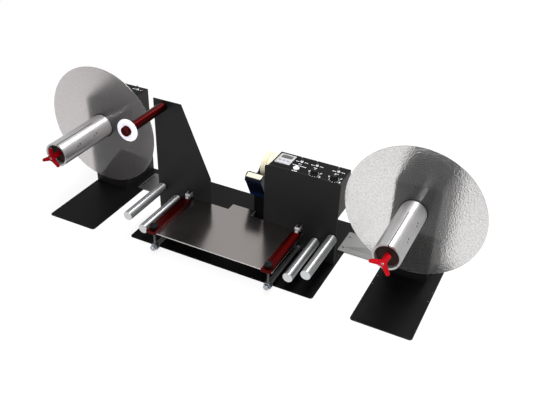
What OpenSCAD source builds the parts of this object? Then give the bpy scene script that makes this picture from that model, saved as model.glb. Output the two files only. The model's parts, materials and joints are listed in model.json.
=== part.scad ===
// Desktop label splicer. Two powered reel stations stand either side of a middle base,
// which carries idler rollers, a splicing table with two clamp bars, a tape dispenser
// and a housing with a counter and speed controls.
// Front is -Y and up is +Z. The origin is on the surface that the machine stands on,
// below the middle of the middle base plate.

/* [Base plates] */
// Width of the middle base plate
base_w = 622; // [610:1:650]
// Depth of the middle base plate
base_d = 399; // [390:1:420]
// Width of a reel station's base plate
station_base_w = 176; // [170:1:186]
// Depth of a reel station's base plate
station_base_d = 405; // [404:1:425]
// Clear space between the middle base plate and a station's plate
station_gap = 122; // [115:1:135]
// How far the station plates stand ahead of the middle plate
station_lead = 26; // [15:1:35]
// Thickness of the base plates
plate_t = 3; // [2.5:0.5:5]
// Corner radius of the base plates
corner_r = 9; // [4:1:12]
// Diameter of a rubber foot
foot_d = 22; // [16:1:28]
// Thickness of a rubber foot
foot_h = 1.5; // [1:0.5:3]
// Spacing of each pair of mounting holes near a plate's side edge
hole_pitch = 41; // [30:1:50]
// Distance from a station plate's side edges to its mounting holes
hole_inset = 6; // [5:0.5:9]
// Distance from the left station plate's front edge to its mounting holes
left_hole_set = 155; // [140:1:165]
// Distance from the right station plate's front edge to its mounting holes
right_hole_set = 174; // [160:1:184]
// Distance from the middle plate's side edges to its mounting holes
base_hole_inset = 10; // [9:0.5:11]
// Diameter of the mounting holes in the base plates
mount_hole_d = 4.5; // [4:0.1:6]

/* [Link plates] */
// Depth of a link plate
link_d = 106; // [90:1:115]
// Thickness of a link plate
link_t = 3; // [2:0.5:4]
// Distance from the middle plate's rear edge to the link plates
link_inset = 51; // [40:1:60]
// How far a link plate lies on the middle base plate
link_lap = 22; // [18:1:26]
// How far a link plate lies on the left station's plate
left_link_lap = 22; // [18:1:26]
// How far a link plate lies on the right station's plate
right_link_lap = 12; // [11:0.5:13]
// Length of the adjusting slot in a link plate
link_slot_l = 66; // [40:1:80]

/* [Towers] */
// Distance from the middle plate's front edge to the front of the towers
tower_set_back = 171; // [165:1:180]
// Thickness of the tower plates
tower_t = 3; // [2.5:0.5:4]
// Depth of the bent foot of a tower
tower_foot_d = 30; // [24:1:36]
// Height of the left tower's top above the ground
left_tower_h = 408; // [400:1:425]
// Width of the left tower's top
left_tower_top_w = 98.5; // [85:0.5:110]
// Width of the left tower's foot
left_tower_foot_w = 195; // [185:1:205]
// Height at which the left tower's sloping edge ends
left_tower_knee_h = 177; // [165:1:190]
// Height of the right tower's top above the ground
right_tower_h = 288; // [280:1:300]
// Width of the right tower
right_tower_w = 237.5; // [234:0.5:242]
// Distance from the middle plate's right edge to the right tower
right_tower_inset = 5; // [4:0.5:6]

/* [Control housing] */
// Depth from the front of the right tower to the back of the housing
housing_d = 88; // [84:1:96]
// Height of the housing's underside above the ground
housing_z = 165; // [155:1:175]
// Distance from the right tower's left edge to the housing
housing_left_inset = 12.5; // [8:0.5:14]
// Distance from the right tower's right edge to the housing
housing_right_inset = 3.5; // [2:0.5:5]
// Sheet thickness of the housings and covers
sheet_t = 2; // [1.5:0.25:2.5]
// Width of a sheet housing's inner flanges
flange_w = 13; // [11:0.5:16]
// Width of the counter's front
counter_w = 48; // [44:1:52]
// Depth of the counter's front
counter_d = 54; // [48:1:56]
// Diameter of a speed dial
dial_d = 24; // [20:1:26]
// Height of a speed dial
dial_h = 14; // [11:1:18]
// Diameter of the push button's cap
button_d = 12.5; // [10:0.5:14]
// Travel of the push button
button_travel = 2.5; // [2:0.25:3]
// Height of a toggle lever's tip above its panel
toggle_h = 17; // [14:0.5:20]

/* [Idler rollers] */
// Diameter of an idler roller
roller_d = 30; // [27:1:34]
// Length of an idler roller, from the tower to its front end
roller_l = 192; // [185:1:200]
// Distance of the outer rollers from the middle of the machine
outer_roller_x = 295; // [290:1:297]
// Height of the outer rollers
outer_roller_z = 98; // [93:1:105]
// Distance of the inner rollers from the middle of the machine
inner_roller_x = 242; // [238:1:246]
// Height of the inner rollers
inner_roller_z = 68.5; // [64:0.5:74]
// Diameter of the fixed shaft inside a roller
roller_shaft_d = 10; // [8:0.5:12]
// Outer diameter of a roller bush
bush_d = 18; // [16:0.5:20]
// Length of a roller bush
bush_l = 15; // [12:1:20]

/* [Guide roller] */
// Diameter of the guide roller
guide_d = 29; // [26:0.5:32]
// Length of the guide roller, from the tower to its front end
guide_l = 190; // [180:1:200]
// Distance from the left tower's left edge to the guide roller
guide_inset = 35.5; // [30:0.5:42]
// Height of the guide roller
guide_z = 388.5; // [380:0.5:390]
// Diameter of the guide flange
guide_flange_d = 67; // [62:1:80]
// Thickness of the guide flange
guide_flange_t = 5; // [4:0.5:7]

/* [Splicing table] */
// Width of the table
table_w = 412; // [404:1:420]
// Distance from the table's front edge to the towers
table_d = 215; // [208:1:222]
// Height of the table's top above the ground
table_z = 88.5; // [85:0.5:92]
// Thickness of the table sheet
table_t = 3; // [2:0.5:4]
// Width of the tab at the back of the table
tab_w = 80; // [70:1:90]
// Depth of the tab at the back of the table
tab_d = 31; // [26:1:36]
// Distance of the tab's middle to the left of the machine's middle
tab_shift = 14; // [8:1:20]

/* [Clamps] */
// Distance of the clamps from the middle of the machine
clamp_x = 190; // [188:1:192]
// Width of a clamp bar
bar_w = 30; // [26:1:32]
// Thickness of a clamp bar
bar_t = 10; // [8:0.5:12]
// How far a clamp bar passes the table's front edge
bar_lead = 10; // [6:1:14]
// Distance from the towers to a clamp's stud
stud_set = 205.5; // [200:0.5:208]
// Diameter of a clamp's stud
stud_d = 8; // [6:0.5:8]
// Diameter of a clamp knob
clamp_knob_d = 24; // [20:1:26]
// Height of a clamp knob
clamp_knob_h = 12; // [10:0.5:15]
// Diameter of a clamp rod
rod_d = 14; // [12:0.5:16]
// Height of the clamp rods above the ground
rod_z = 32; // [30:0.5:34]

/* [Reel stations] */
// Width of a station's housing
box_w = 129; // [124:1:131]
// Depth of a station's housing
box_d = 157; // [150:1:158]
// Height of a station's top above the ground
box_h = 317; // [308:1:330]
// Distance from a station plate's front edge to its housing
box_set_back = 245.5; // [238:0.5:246]
// Distance from the left station plate's left edge to its housing
left_box_inset = 1; // [1:0.5:2]
// Distance from the right station plate's left edge to its housing
right_box_inset = 14; // [14:0.5:15]
// Distance from a station plate's left edge to its spindle
spindle_inset = 81; // [79:0.5:83]
// Height of the spindles above the ground
spindle_z = 254; // [250:1:260]
// Diameter of a back disc
disc_d = 397; // [380:1:400]
// Thickness of a back disc
disc_t = 3; // [2:0.5:5]
// Distance from a station's front to its back disc
disc_gap = 32; // [28:1:38]
// Outer diameter of a core tube, which fits a 3 inch core
core_d = 76.2; // [75:0.1:77]
// Length of a core tube
core_l = 223; // [215:1:232]
// Wall of a core tube
core_wall = 5.5; // [4.5:0.5:6.5]
// Width of the expansion slots in a core tube
core_slot_w = 2.5; // [1.5:0.5:4]
// Length of the expansion slots in a core tube
core_slot_l = 163; // [145:1:175]
// Diameter of a spindle shaft
shaft_d = 16; // [14:1:18]
// Radius of a star knob's arms
knob_r = 35; // [31:1:38]
// Width of a star knob's arm
knob_arm_w = 12; // [10:0.5:14]
// Depth of a star knob along its axis
knob_t = 15; // [12:1:18]
// How far the right star knob stands in front of its core tube
knob_reach = 36; // [33:1:40]
// How much further in the left star knob is turned
left_draw = 6; // [4:1:9]

/* [Tape dispenser] */
// Width of the tape
tape_w = 50; // [46:1:52]
// Diameter of the tape roll
roll_d = 84; // [74:1:86]
// Thickness of the dispenser's cheeks
cheek_t = 3; // [2.5:0.5:4]
// Height of the dispenser's underside above the ground
dispenser_z = 105; // [98:1:112]
// Length of the dispenser
dispenser_l = 168; // [160:1:176]
// Height of the dispenser's nose above its underside
nose_h = 94; // [88:1:100]
// Distance of the nose behind the towers' front
nose_set = 48; // [42:1:52]
// Distance of the dispenser's middle to the right of the machine's middle
dispenser_x = 5; // [0:1:8]
// Width of the dispenser's post
post_w = 40; // [34:1:44]

/* [Hidden] */
$fn = 64;

// Clearances on the radius: fixed pieces, bearings, and pieces that pass each other
slip = 0.1;
run = 0.05;
gap = 0.3;
// How far a cutter passes the surface that it opens
cut = 1;

// Places of the plates
deck_z = foot_h + plate_t;
base_x = base_w / 2;
base_front_y = -base_d / 2;
base_rear_y = base_d / 2;
tower_y = base_front_y + tower_set_back;
tower_back_y = tower_y + tower_t;
station_in_x = base_x + station_gap;
station_out_x = station_in_x + station_base_w;
station_front_y = base_front_y - station_lead;
station_places = [[-station_out_x, left_hole_set], [station_in_x, right_hole_set]];
station_foot_inset = 20;
station_foot_inset_y = 22;
base_foot_inset = 27;

// Screws
screw_d = 4;
head_d = 7;
head_h = 2.5;
small_screw_d = 3;
small_head_d = 5.5;
small_head_h = 2;

// Towers
base_hole_lead = 6.5;
base_hole_y = tower_back_y + base_hole_lead;
base_holes_x = base_x - base_hole_inset;
left_tower_x = -base_x;
right_tower_x = base_x - right_tower_inset - right_tower_w;
right_tower_end_x = base_x - right_tower_inset;
right_corner_w = 12;
right_corner_h = 5;
tower_foot_gap = 16;
tower_foot_end = 6;
left_foot_x = left_tower_x + tower_foot_gap;
left_foot_w = left_tower_foot_w - tower_foot_gap - tower_foot_end;
right_foot_x = right_tower_x + tower_foot_end;
right_foot_w = right_tower_w - tower_foot_gap - tower_foot_end;
foot_screw_shares = [0.1, 0.5, 0.9];
foot_screw_y = tower_back_y + tower_foot_d / 2;
foot_screws = concat(
    [for (s = foot_screw_shares) [left_foot_x + s * left_foot_w, foot_screw_y]],
    [for (s = foot_screw_shares) [right_foot_x + s * right_foot_w, foot_screw_y]]
);

// Link plates
link_y = base_rear_y - link_inset - link_d;
link_mid_y = link_y + link_d / 2;
link_r = 3;
link_slot_w = 4.5;
link_slot_inset = 8;
left_link_x = -station_in_x - left_link_lap;
left_link_w = station_gap + left_link_lap + link_lap;
right_link_x = base_x - link_lap;
right_link_w = station_gap + right_link_lap + link_lap;
left_slot_x = left_link_x + link_slot_inset;
right_slot_x = right_link_x + right_link_w - link_slot_inset;
link_slot_pitch = 36;
link_screw_pitch = 60;
link_screw_x = base_x - link_lap / 2;
slot_screws = [for (x = [left_slot_x, right_slot_x], s = [-1, 1])
    [x, link_mid_y + s * link_slot_pitch / 2]];
link_screws = [for (x = [-link_screw_x, link_screw_x], s = [-1, 1])
    [x, link_mid_y + s * link_screw_pitch / 2]];

// Rollers
left_guide_x = left_tower_x + guide_inset;
roller_r = roller_d / 2;
roller_shaft_r = roller_shaft_d / 2;
bush_r = bush_d / 2;
roller_places = [
    [-outer_roller_x, outer_roller_z], [-inner_roller_x, inner_roller_z],
    [inner_roller_x, inner_roller_z], [outer_roller_x, outer_roller_z],
    [left_guide_x, guide_z]
];
roller_gap = 2;
roller_wall = 8;
roller_front_y = tower_y - roller_l;
guide_front_y = tower_y - guide_l;
shaft_front_y = guide_front_y + roller_wall + 2 * roller_gap;
front_bush_y = shaft_front_y + roller_gap;
rear_bush_y = tower_y - 2 * roller_gap - bush_l;
shaft_stem_d = 6;
shaft_stem_l = 9;
shaft_nut_af = 10;
shaft_nut_h = 6;
roller_lip = 1;
sensor_d = 6;
sensor_l = 42;
sensor_nut_h = 4;
sensor_r = (roller_r + bush_r) / 2;
magnet_d = 4;
magnet_depth = 4;
guide_tip = 9.5;
guide_hub_d = 38;
guide_hub_l = 10;

// Clamps
clamp_sides = [-1, 1];
stud_y = tower_y - stud_set;
eye_d = 24;
eye_l = 11;
washer_t = 1.5;
washer_d = 22;
pivot_d = 8;
pivot_grip = 18;
pivot_nut_af = 17;
pivot_nut_h = 8;
pivot_end = 3;
rod_front_y = stud_y + eye_l / 2 + washer_t;
rod_stem_d = 10;
rod_stem_l = 9;
rod_nut_af = 22;
rod_nut_h = 10;
rod_back_nut_af = 17;
rod_back_nut_h = 7;
bar_z = table_z + gap;
bar_top_z = bar_z + bar_t;
bar_front_y = tower_y - table_d - bar_lead;
pin_set = 15.5;
bar_rear_gap = 10;
pin_y = tower_y - pin_set;
bar_rear_y = pin_y - bar_rear_gap;
knuckle_d = 13;
pin_z = bar_top_z + knuckle_d / 2 + gap;
pin_d = 5;
tongue_w = 9;
stud_hole_d = stud_d + 2.4;
ear_t = 3;
ear_gap = 0.5;
ear_d = 13;
bracket_t = 3.5;
bracket_w = tongue_w + 2 * ear_t + 2 * ear_gap;
bracket_h = 22;
bracket_screw_set = 6.5;
knob_z = bar_top_z + gap;
knob_roof = 2;
stud_top_z = knob_z + clamp_knob_h - knob_roof - 2 * gap;
knob_bore_d = stud_d + 2;
table_notch_w = stud_d + 4;

// Table brackets
table_under_z = table_z - table_t;
gusset_x = 150;
gusset_w = 40;
gusset_t = 3;
gusset_h = 50;
gusset_d = 150;
gusset_screw_shares = [0.25, 0.8];
gusset_drop_share = 0.5;
gusset_screws = [for (x = [-gusset_x, gusset_x], s = gusset_screw_shares)
    [x, tower_y - s * gusset_d]];
blind = 2;

// Control housing
panel_x = right_tower_x + housing_left_inset;
panel_w = right_tower_w - housing_left_inset - housing_right_inset;
panel_z = right_tower_h;
shell_y = tower_back_y;
shell_d = housing_d - tower_t - sheet_t;
shell_h = right_tower_h - housing_z;
shell_end_y = shell_y + shell_d;
counter_place_share = [0.14, 0.5625];
button_place_share = [0.361, 0.199];
left_toggle_share = [0.357, 0.67];
middle_toggle_share = [0.573, 0.676];
right_toggle_share = [0.876, 0.665];
left_dial_share = [0.619, 0.165];
right_dial_share = [0.894, 0.165];
function on_panel(share) = [panel_x + share[0] * panel_w, tower_y + share[1] * housing_d];
counter_at = on_panel(counter_place_share);
button_at = on_panel(button_place_share);
toggle_places = [
    on_panel(left_toggle_share), on_panel(middle_toggle_share),
    on_panel(right_toggle_share)
];
dial_places = [on_panel(left_dial_share), on_panel(right_dial_share)];
flange_screw_inset = 6.5;

// Counter
counter_rim = 1.5;
counter_proud = 2.5;
counter_body_h = 38;
screen_w_share = 0.73;
screen_d_share = 0.33;
screen_depth = 0.6;
screen_back_share = 0.23;
key_w_share = 0.22;
key_d_share = 0.17;
key_proud = 0.6;
key_shares = [-0.29, 0, 0.29];
keypad_share = 0.22;

// Push button
bezel_d = 18;
bezel_h = 3;
button_can_d = 15;
button_can_h = 20;
button_floor = 3;
button_proud = 7;
button_cap_l = 14;
button_stem_d = 4;

// Toggle switches
toggle_bush_d = 6;
toggle_bore_d = 4.2;
toggle_bush_h = 4.5;
toggle_ball_d = 3.6;
toggle_neck_d = 2.2;
toggle_neck_l = 3;
toggle_tip_d = 5;
toggle_body_w = 8;
toggle_body_l = 13;
toggle_body_h = 11;
toggle_nut_af = 8;
toggle_nut_h = 1.8;

// Dials
pot_d = 16;
pot_h = 14;
pot_bush_d = 9;
pot_bush_h = 5;
pot_nut_af = 12;
pot_nut_h = 2;
pot_shaft_d = 6;
pot_shaft_l = 12;
dial_gap = 0.6;
dial_recess_d = 17;
dial_recess_h = 6;
dial_top_share = 0.86;
pointer_w = 1.4;
pointer_l_share = 0.42;
pointer_depth = 0.5;

// Reel stations
box_y = station_front_y + box_set_back;
box_shell_d = box_d - sheet_t;
box_end_y = box_y + box_shell_d;
left_box_x = -station_out_x + left_box_inset;
right_box_x = station_in_x + right_box_inset;
box_places = [left_box_x, right_box_x];
left_spindle_x = -station_out_x + spindle_inset;
right_spindle_x = station_in_x + spindle_inset;
spindle_places = [left_spindle_x, right_spindle_x];
floor_top_z = deck_z + sheet_t;
floor_screw_inset = 16;
floor_screw_back = 30;
station_toggle_share = [0.798, 0.853];
lamp_share = [0.94, 0.853];
lamp_d = 6;
lamp_rim_d = 8;
lamp_rim_h = 1;
lamp_body_l = 14;
cover_screw_shares = [0.05, 0.5, 0.95];
cover_screw_inset = 6.5;
vent_h = 3;
vent_pitch = 7;
vent_rows = 7;
vent_w_share = 0.6;
vent_z_share = 0.7;
control_vent_z_share = 0.5;

// Inlets
inlet_w = 27;
inlet_h = 20;
inlet_l = 24;
inlet_flange_w = 40;
inlet_flange_h = 28;
inlet_flange_t = 2.5;
inlet_recess_w = 22;
inlet_recess_h = 15;
inlet_recess_l = 16;
inlet_z_share = 0.2;
prong_w = 2;
prong_t = 4;
prong_l = 12;
prong_pitch = 7;
jack_d = 11;
jack_l = 18;
jack_rim_d = 14;
jack_rim_t = 2;
jack_bore_d = 7;
jack_bore_l = 12;
jack_z_share = 0.38;
control_jack_share = 0.15;
control_jack_gap = 0.5;

// Spindles
shaft_r = shaft_d / 2;
core_r = core_d / 2;
core_in_r = core_r - core_wall;
disc_back_y = box_y - disc_gap;
disc_front_y = disc_back_y - disc_t;
tube_front_y = disc_front_y - core_l;
plug_l = 15;
spindle_set = 58;
spindle_front_y = tube_front_y + spindle_set;
gear_set = 75;
gear_l = 52;
gear_y = box_y + gear_set;
spindle_rear_y = gear_y + gear_l + 2 * roller_gap;
spindle_flange_d = 68;
spindle_flange_t = 6;
spindle_hub_d = 28;
spindle_hub_l = 12;
core_screw_shares = [0.332, 0.684];
core_screw_turns = [54.5, 59];
core_screw_step = 11.5;
core_screw_d = 3.2;
slot_turns = [0, 120, 240];
left_slot_angle = 76.5;
right_slot_angle = 88;
cone_set = 12;
cone_l = 25;
cone_clear = 0.8;
cone_taper = 6;
draw_d = 10;
draw_grip = 30;
draw_bore_l = 46;
hub_d = 22;
knob_dish = 6;
knob_arm_t = 9;
collar_d = 16;
cap_d = 9;
cap_h = 1;
cap_socket_af = 4;
knob_turns = [0, 120, 240];
left_knob_angle = 84;
right_knob_angle = 63;
cone_fronts_y = [tube_front_y + cone_set + left_draw, tube_front_y + cone_set];

// Spindle drive
bearing_flange_d = 52;
bearing_flange_t = 7;
bearing_hub_d = 30;
bearing_l = 20;
bearing_screw_r = 20;
bearing_turns = [45, 135, 225, 315];
shaft_hole_d = shaft_d + 6;
gear_w = 62;
gear_up = 38;
gear_down = 42;
motor_d = 50;
motor_l = 92;
motor_mid_y = gear_y + gear_l / 2;
motor_cap_d = 42;
motor_cap_l = 8;
bracket_plate_t = 4;
bracket_foot_d = 36;
bracket_rib_t = 3;
bracket_screw_x = 24;
bracket_screw_up = 30;
bracket_screw_down = 32;
motor_foot_screw_x = 20;

// Circuit boards
board_t = 1.6;
board_w = 96;
board_d = 60;
board_up = 6;
post_d = 6;
board_post_inset = 5;
board_inset_y = 6;
coil_w = 36;
coil_d = 30;
coil_h = 26;
can_d = 16;
can_h = 24;
heat_w = 30;
heat_d = 4;
heat_h = 30;
control_board_w = 180;
control_board_d = 46;
chip_w = 22;
chip_d = 14;
chip_h = 4;
plug_w = 20;
plug_d = 8;
plug_h = 10;

// Tape dispenser
nose_y = tower_y + nose_set;
tape_side_gap = 0.5;
dispenser_w = tape_w + 2 * cheek_t + 2 * tape_side_gap;
dispenser_left_x = dispenser_x - dispenser_w / 2;
hub_share = [0.83, 0.66];
roll_y = nose_y + hub_share[0] * dispenser_l;
roll_z = dispenser_z + hub_share[1] * nose_h;
cheek_end_d = 54;
cheek_shares = [
    [0.238, 0], [0.071, 0.596], [0, 0.8], [0.04, 0.95], [0.119, 1], [0.19, 0.95],
    [0.47, 0.6], [0.54, 0.6], [0.63, 0.745], [0.83, 0.8], [0.93, 0.54], [0.9, 0]
];
floor_shares = [[0.238, 0], [0.9, 0]];
dispenser_floor_t = 3;
nose_shares = [[0.02, 0.8], [0.04, 0.93], [0.119, 0.975], [0.19, 0.93], [0.15, 0.8]];
front_wall_shares = [[0.238, 0], [0.071, 0.596], [0.02, 0.8], [0.05, 0.8], [0.1, 0.596], [0.265, 0]];
strip_shares = [[0.04, 0.93], [0.119, 0.975]];
strip_t = 0.6;
blade_t = 1;
blade_tooth = 2.5;
blade_teeth = 20;
blade_rise = 3.5;
blade_band = 7;
strip_lead = 3;
axle_d = 12;
tape_hub_d = 25.4;
post_wall = 3;
post_screw_x = 10;
post_y_share = 0.3;
post_y = nose_y + post_y_share * dispenser_l;

// Shapes used throughout
// A plate with round corners, from its front left corner at the ground
module rounded_plate(w, d, t, r) {
    translate([r, 0, 0]) cube([w - 2 * r, d, t]);
    translate([0, r, 0]) cube([w, d - 2 * r, t]);
    for (x = [r, w - r], y = [r, d - r]) translate([x, y, 0]) cylinder(h = t, r = r);
}

// A rod that runs backwards from the front end's place
module rod_back(l, d) {
    rotate([-90, 0, 0]) cylinder(h = l, d = d);
}

// A hexagonal nut that runs backwards from the front face's place
module nut_back(l, af, bore) {
    rotate([-90, 0, 0]) difference() {
        cylinder(h = l, d = af / cos(30), $fn = 6);
        translate([0, 0, -cut]) cylinder(h = l + 2 * cut, d = bore + 2 * slip);
    }
}

// A screw with its head above the ground and its shank below
module screw(l) {
    cylinder(h = head_h, d = head_d);
    translate([0, 0, -l]) cylinder(h = l + head_h / 2, d = screw_d);
}

module screw_hole(l) {
    translate([0, 0, -l]) cylinder(h = l + cut, d = screw_d + 2 * slip);
}

module small_screw(l) {
    cylinder(h = small_head_h, d = small_head_d);
    translate([0, 0, -l]) cylinder(h = l + small_head_h / 2, d = small_screw_d);
}

module small_hole(l) {
    translate([0, 0, -l]) cylinder(h = l + cut, d = small_screw_d + 2 * slip);
}

// A profile drawn across Y and Z, with its thickness along X
module side_profile(t, points) {
    rotate([90, 0, 90]) linear_extrude(height = t) polygon(points);
}

// Base plates
module splice_base() color("#26262a") difference() {
    translate([-base_x, base_front_y, foot_h])
        rounded_plate(base_w, base_d, plate_t, corner_r);
    for (x = [-base_holes_x, base_holes_x], y = [base_hole_y, base_hole_y + hole_pitch])
        translate([x, y, 0]) cylinder(h = deck_z + cut, d = mount_hole_d);
    for (p = foot_screws) translate([p[0], p[1], deck_z]) screw_hole(deck_z);
    for (p = link_screws) translate([p[0], p[1], deck_z]) screw_hole(deck_z);
    for (s = [-1, 1]) translate([dispenser_x + s * post_screw_x, post_y + post_w / 2, 0])
        post_screw_hole();
}

module post_screw_hole() {
    translate([0, 0, 0]) cylinder(h = deck_z + post_wall + cut, d = screw_d + 2 * slip);
    translate([0, 0, foot_h]) cylinder(h = head_h / 2, d1 = head_d + 2 * slip, d2 = screw_d);
}

module station_bases() color("#26262a") {
    for (i = [0, 1]) difference() {
        x0 = station_places[i][0];
        translate([x0, station_front_y, foot_h])
            rounded_plate(station_base_w, station_base_d, plate_t, corner_r);
        for (x = [x0 + hole_inset, x0 + station_base_w - hole_inset], y = [0, hole_pitch])
            translate([x, station_front_y + station_places[i][1] + y, 0])
                cylinder(h = deck_z + cut, d = mount_hole_d);
        for (p = slot_screws) translate([p[0], p[1], deck_z]) screw_hole(deck_z);
        for (p = housing_floor_screws(i)) translate([p[0], p[1], deck_z]) screw_hole(deck_z);
    }
}

function housing_floor_screws(i) = concat(
    [for (x = [floor_screw_inset, box_w - floor_screw_inset],
          y = [floor_screw_inset, box_shell_d - floor_screw_back])
        [box_places[i] + x, box_y + y]],
    [for (s = [-1, 1])
        [spindle_places[i] + s * motor_foot_screw_x, gear_y - bracket_foot_d / 2]]
);

module rubber_feet() color("#141414") {
    for (x = [-base_x + base_foot_inset, base_x - base_foot_inset],
         y = [base_front_y + base_foot_inset, base_rear_y - base_foot_inset])
        translate([x, y, 0]) cylinder(h = foot_h, d = foot_d);
    cylinder(h = foot_h, d = foot_d);
    for (p = station_places, x = [station_foot_inset, station_base_w - station_foot_inset],
         y = [station_foot_inset_y, station_base_d - station_foot_inset_y])
        translate([p[0] + x, station_front_y + y, 0]) cylinder(h = foot_h, d = foot_d);
}

module link_plate(x0, w, slot_x) {
    difference() {
        translate([x0, link_y, deck_z]) rounded_plate(w, link_d, link_t, link_r);
        translate([slot_x - link_slot_w / 2, link_mid_y - link_slot_l / 2, deck_z - cut])
            cube([link_slot_w, link_slot_l, link_t + 2 * cut]);
        for (p = link_screws) translate([p[0], p[1], deck_z + link_t]) screw_hole(link_t + cut);
    }
}

module link_plates() color("#7d7d80") {
    link_plate(left_link_x, left_link_w, left_slot_x);
    link_plate(right_link_x, right_link_w, right_slot_x);
}

// Towers
module tower_plate(points) {
    translate([0, tower_back_y, 0]) rotate([90, 0, 0])
        linear_extrude(height = tower_t) polygon(points);
}

module tower_holes(sides, rollers) {
    for (i = rollers) translate([roller_places[i][0], tower_y - cut, roller_places[i][1]])
        rod_back(tower_t + 2 * cut, shaft_stem_d + 2 * slip);
    for (s = sides) {
        translate([s * clamp_x, tower_y - cut, rod_z])
            rod_back(tower_t + 2 * cut, rod_stem_d + 2 * slip);
        for (z = [-bracket_screw_set, bracket_screw_set])
            translate([s * clamp_x, tower_back_y, pin_z + z])
                rotate([-90, 0, 0]) small_hole(tower_t + cut);
        for (x = [-gusset_w / 4, gusset_w / 4])
            translate([s * gusset_x + x, tower_back_y, gusset_bolt_z])
                rotate([-90, 0, 0]) screw_hole(tower_t + cut);
    }
}

gusset_bolt_z = table_under_z - gusset_h / 2;

module left_tower() color("#2b2b2e") difference() {
    union() {
        tower_plate([
            [left_tower_x, deck_z], [left_tower_x + left_tower_foot_w, deck_z],
            [left_tower_x + left_tower_foot_w, left_tower_knee_h],
            [left_tower_x + left_tower_top_w, left_tower_h], [left_tower_x, left_tower_h]
        ]);
        translate([left_foot_x, tower_y, deck_z]) cube([left_foot_w, tower_foot_d, tower_t]);
    }
    tower_holes([-1], [0, 1, 4]);
    for (p = foot_screws) translate([p[0], p[1], deck_z + tower_t]) screw_hole(tower_t + cut);
}

module right_tower() color("#2b2b2e") difference() {
    union() {
        tower_plate([
            [right_tower_x, deck_z], [right_tower_end_x, deck_z],
            [right_tower_end_x, right_tower_h], [panel_x, right_tower_h],
            [panel_x, right_tower_h - right_corner_h / 2],
            [right_tower_x + right_corner_h / 2, right_tower_h - right_corner_h],
            [right_tower_x, right_tower_h - 2 * right_corner_h]
        ]);
        translate([right_foot_x, tower_y, deck_z]) cube([right_foot_w, tower_foot_d, tower_t]);
    }
    tower_holes([1], [2, 3]);
    for (p = foot_screws) translate([p[0], p[1], deck_z + tower_t]) screw_hole(tower_t + cut);
    translate([inner_roller_x, tower_y - cut, inner_roller_z - sensor_r])
        rod_back(tower_t + 2 * cut, sensor_d + 2 * slip);
    for (p = panel_flange_screws) translate([p[0], tower_back_y, p[1]])
        rotate([-90, 0, 0]) small_hole(blind);
}

// Control housing
panel_flange_screws = [
    for (x = [panel_x + flange_screw_inset, panel_x + panel_w - flange_screw_inset],
         z = [housing_z + shell_h * cover_screw_shares[0] + flange_w,
              housing_z + shell_h * cover_screw_shares[1]])
    [x, z]
];

// A sheet metal shell, open at the back, with flanges for a cover
module shell(w, d, h, open_front) {
    difference() {
        cube([w, d, h]);
        translate([sheet_t, open_front ? -cut : sheet_t, sheet_t])
            cube([w - 2 * sheet_t, d - sheet_t + (open_front ? cut : -sheet_t), h - 2 * sheet_t]);
        translate([flange_w, sheet_t, flange_w])
            cube([w - 2 * flange_w, d, h - 2 * flange_w]);
    }
}

module control_housing() color("#232326") difference() {
    union() {
        translate([panel_x, shell_y, housing_z]) shell(panel_w, shell_d, shell_h, true);
        for (x = [panel_x, panel_x + panel_w - flange_w])
            translate([x, shell_y, housing_z]) cube([flange_w, sheet_t, shell_h - flange_w]);
        translate([panel_x, shell_y, housing_z]) cube([panel_w, sheet_t, flange_w]);
    }
    for (p = panel_flange_screws) translate([p[0], shell_y + sheet_t, p[1]])
        rotate([-90, 0, 0]) small_hole(sheet_t + cut);
    for (p = control_cover_screws) translate([p[0], shell_end_y, p[1]])
        rotate([-90, 0, 0]) small_hole(sheet_t + cut);
    translate([counter_at[0] - counter_w / 2 + counter_rim,
               counter_at[1] - counter_d / 2 + counter_rim, panel_z - sheet_t - cut])
        cube([counter_w - 2 * counter_rim, counter_d - 2 * counter_rim, sheet_t + 2 * cut]);
    translate([button_at[0], button_at[1], panel_z - sheet_t - cut])
        cylinder(h = sheet_t + 2 * cut, d = button_can_d + 2 * slip);
    for (p = toggle_places) translate([p[0], p[1], panel_z - sheet_t - cut])
        cylinder(h = sheet_t + 2 * cut, d = toggle_bush_d + 2 * slip);
    for (p = dial_places) translate([p[0], p[1], panel_z - sheet_t - cut])
        cylinder(h = sheet_t + 2 * cut, d = pot_bush_d + 2 * slip);
}

control_cover_screws = [
    for (x = [panel_x + cover_screw_inset, panel_x + panel_w - cover_screw_inset],
         s = [cover_screw_shares[0], cover_screw_shares[2]])
    [x, housing_z + s * shell_h]
];

function station_cover_screws(i) = [
    for (x = [box_places[i] + cover_screw_inset, box_places[i] + box_w - cover_screw_inset],
         s = cover_screw_shares)
    [x, deck_z + s * (box_h - deck_z)]
];

module cover(x0, y0, z0, w, h, vent_z) {
    difference() {
        translate([x0, y0, z0]) cube([w, sheet_t, h]);
        for (i = [0 : vent_rows - 1])
            translate([x0 + w * (1 - vent_w_share) / 2, y0 - cut, vent_z + i * vent_pitch])
                cube([w * vent_w_share, sheet_t + 2 * cut, vent_h]);
    }
}

control_jack_x = panel_x + control_jack_share * panel_w;
control_jack_z = housing_z + flange_w + jack_d / 2 + control_jack_gap;

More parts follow.
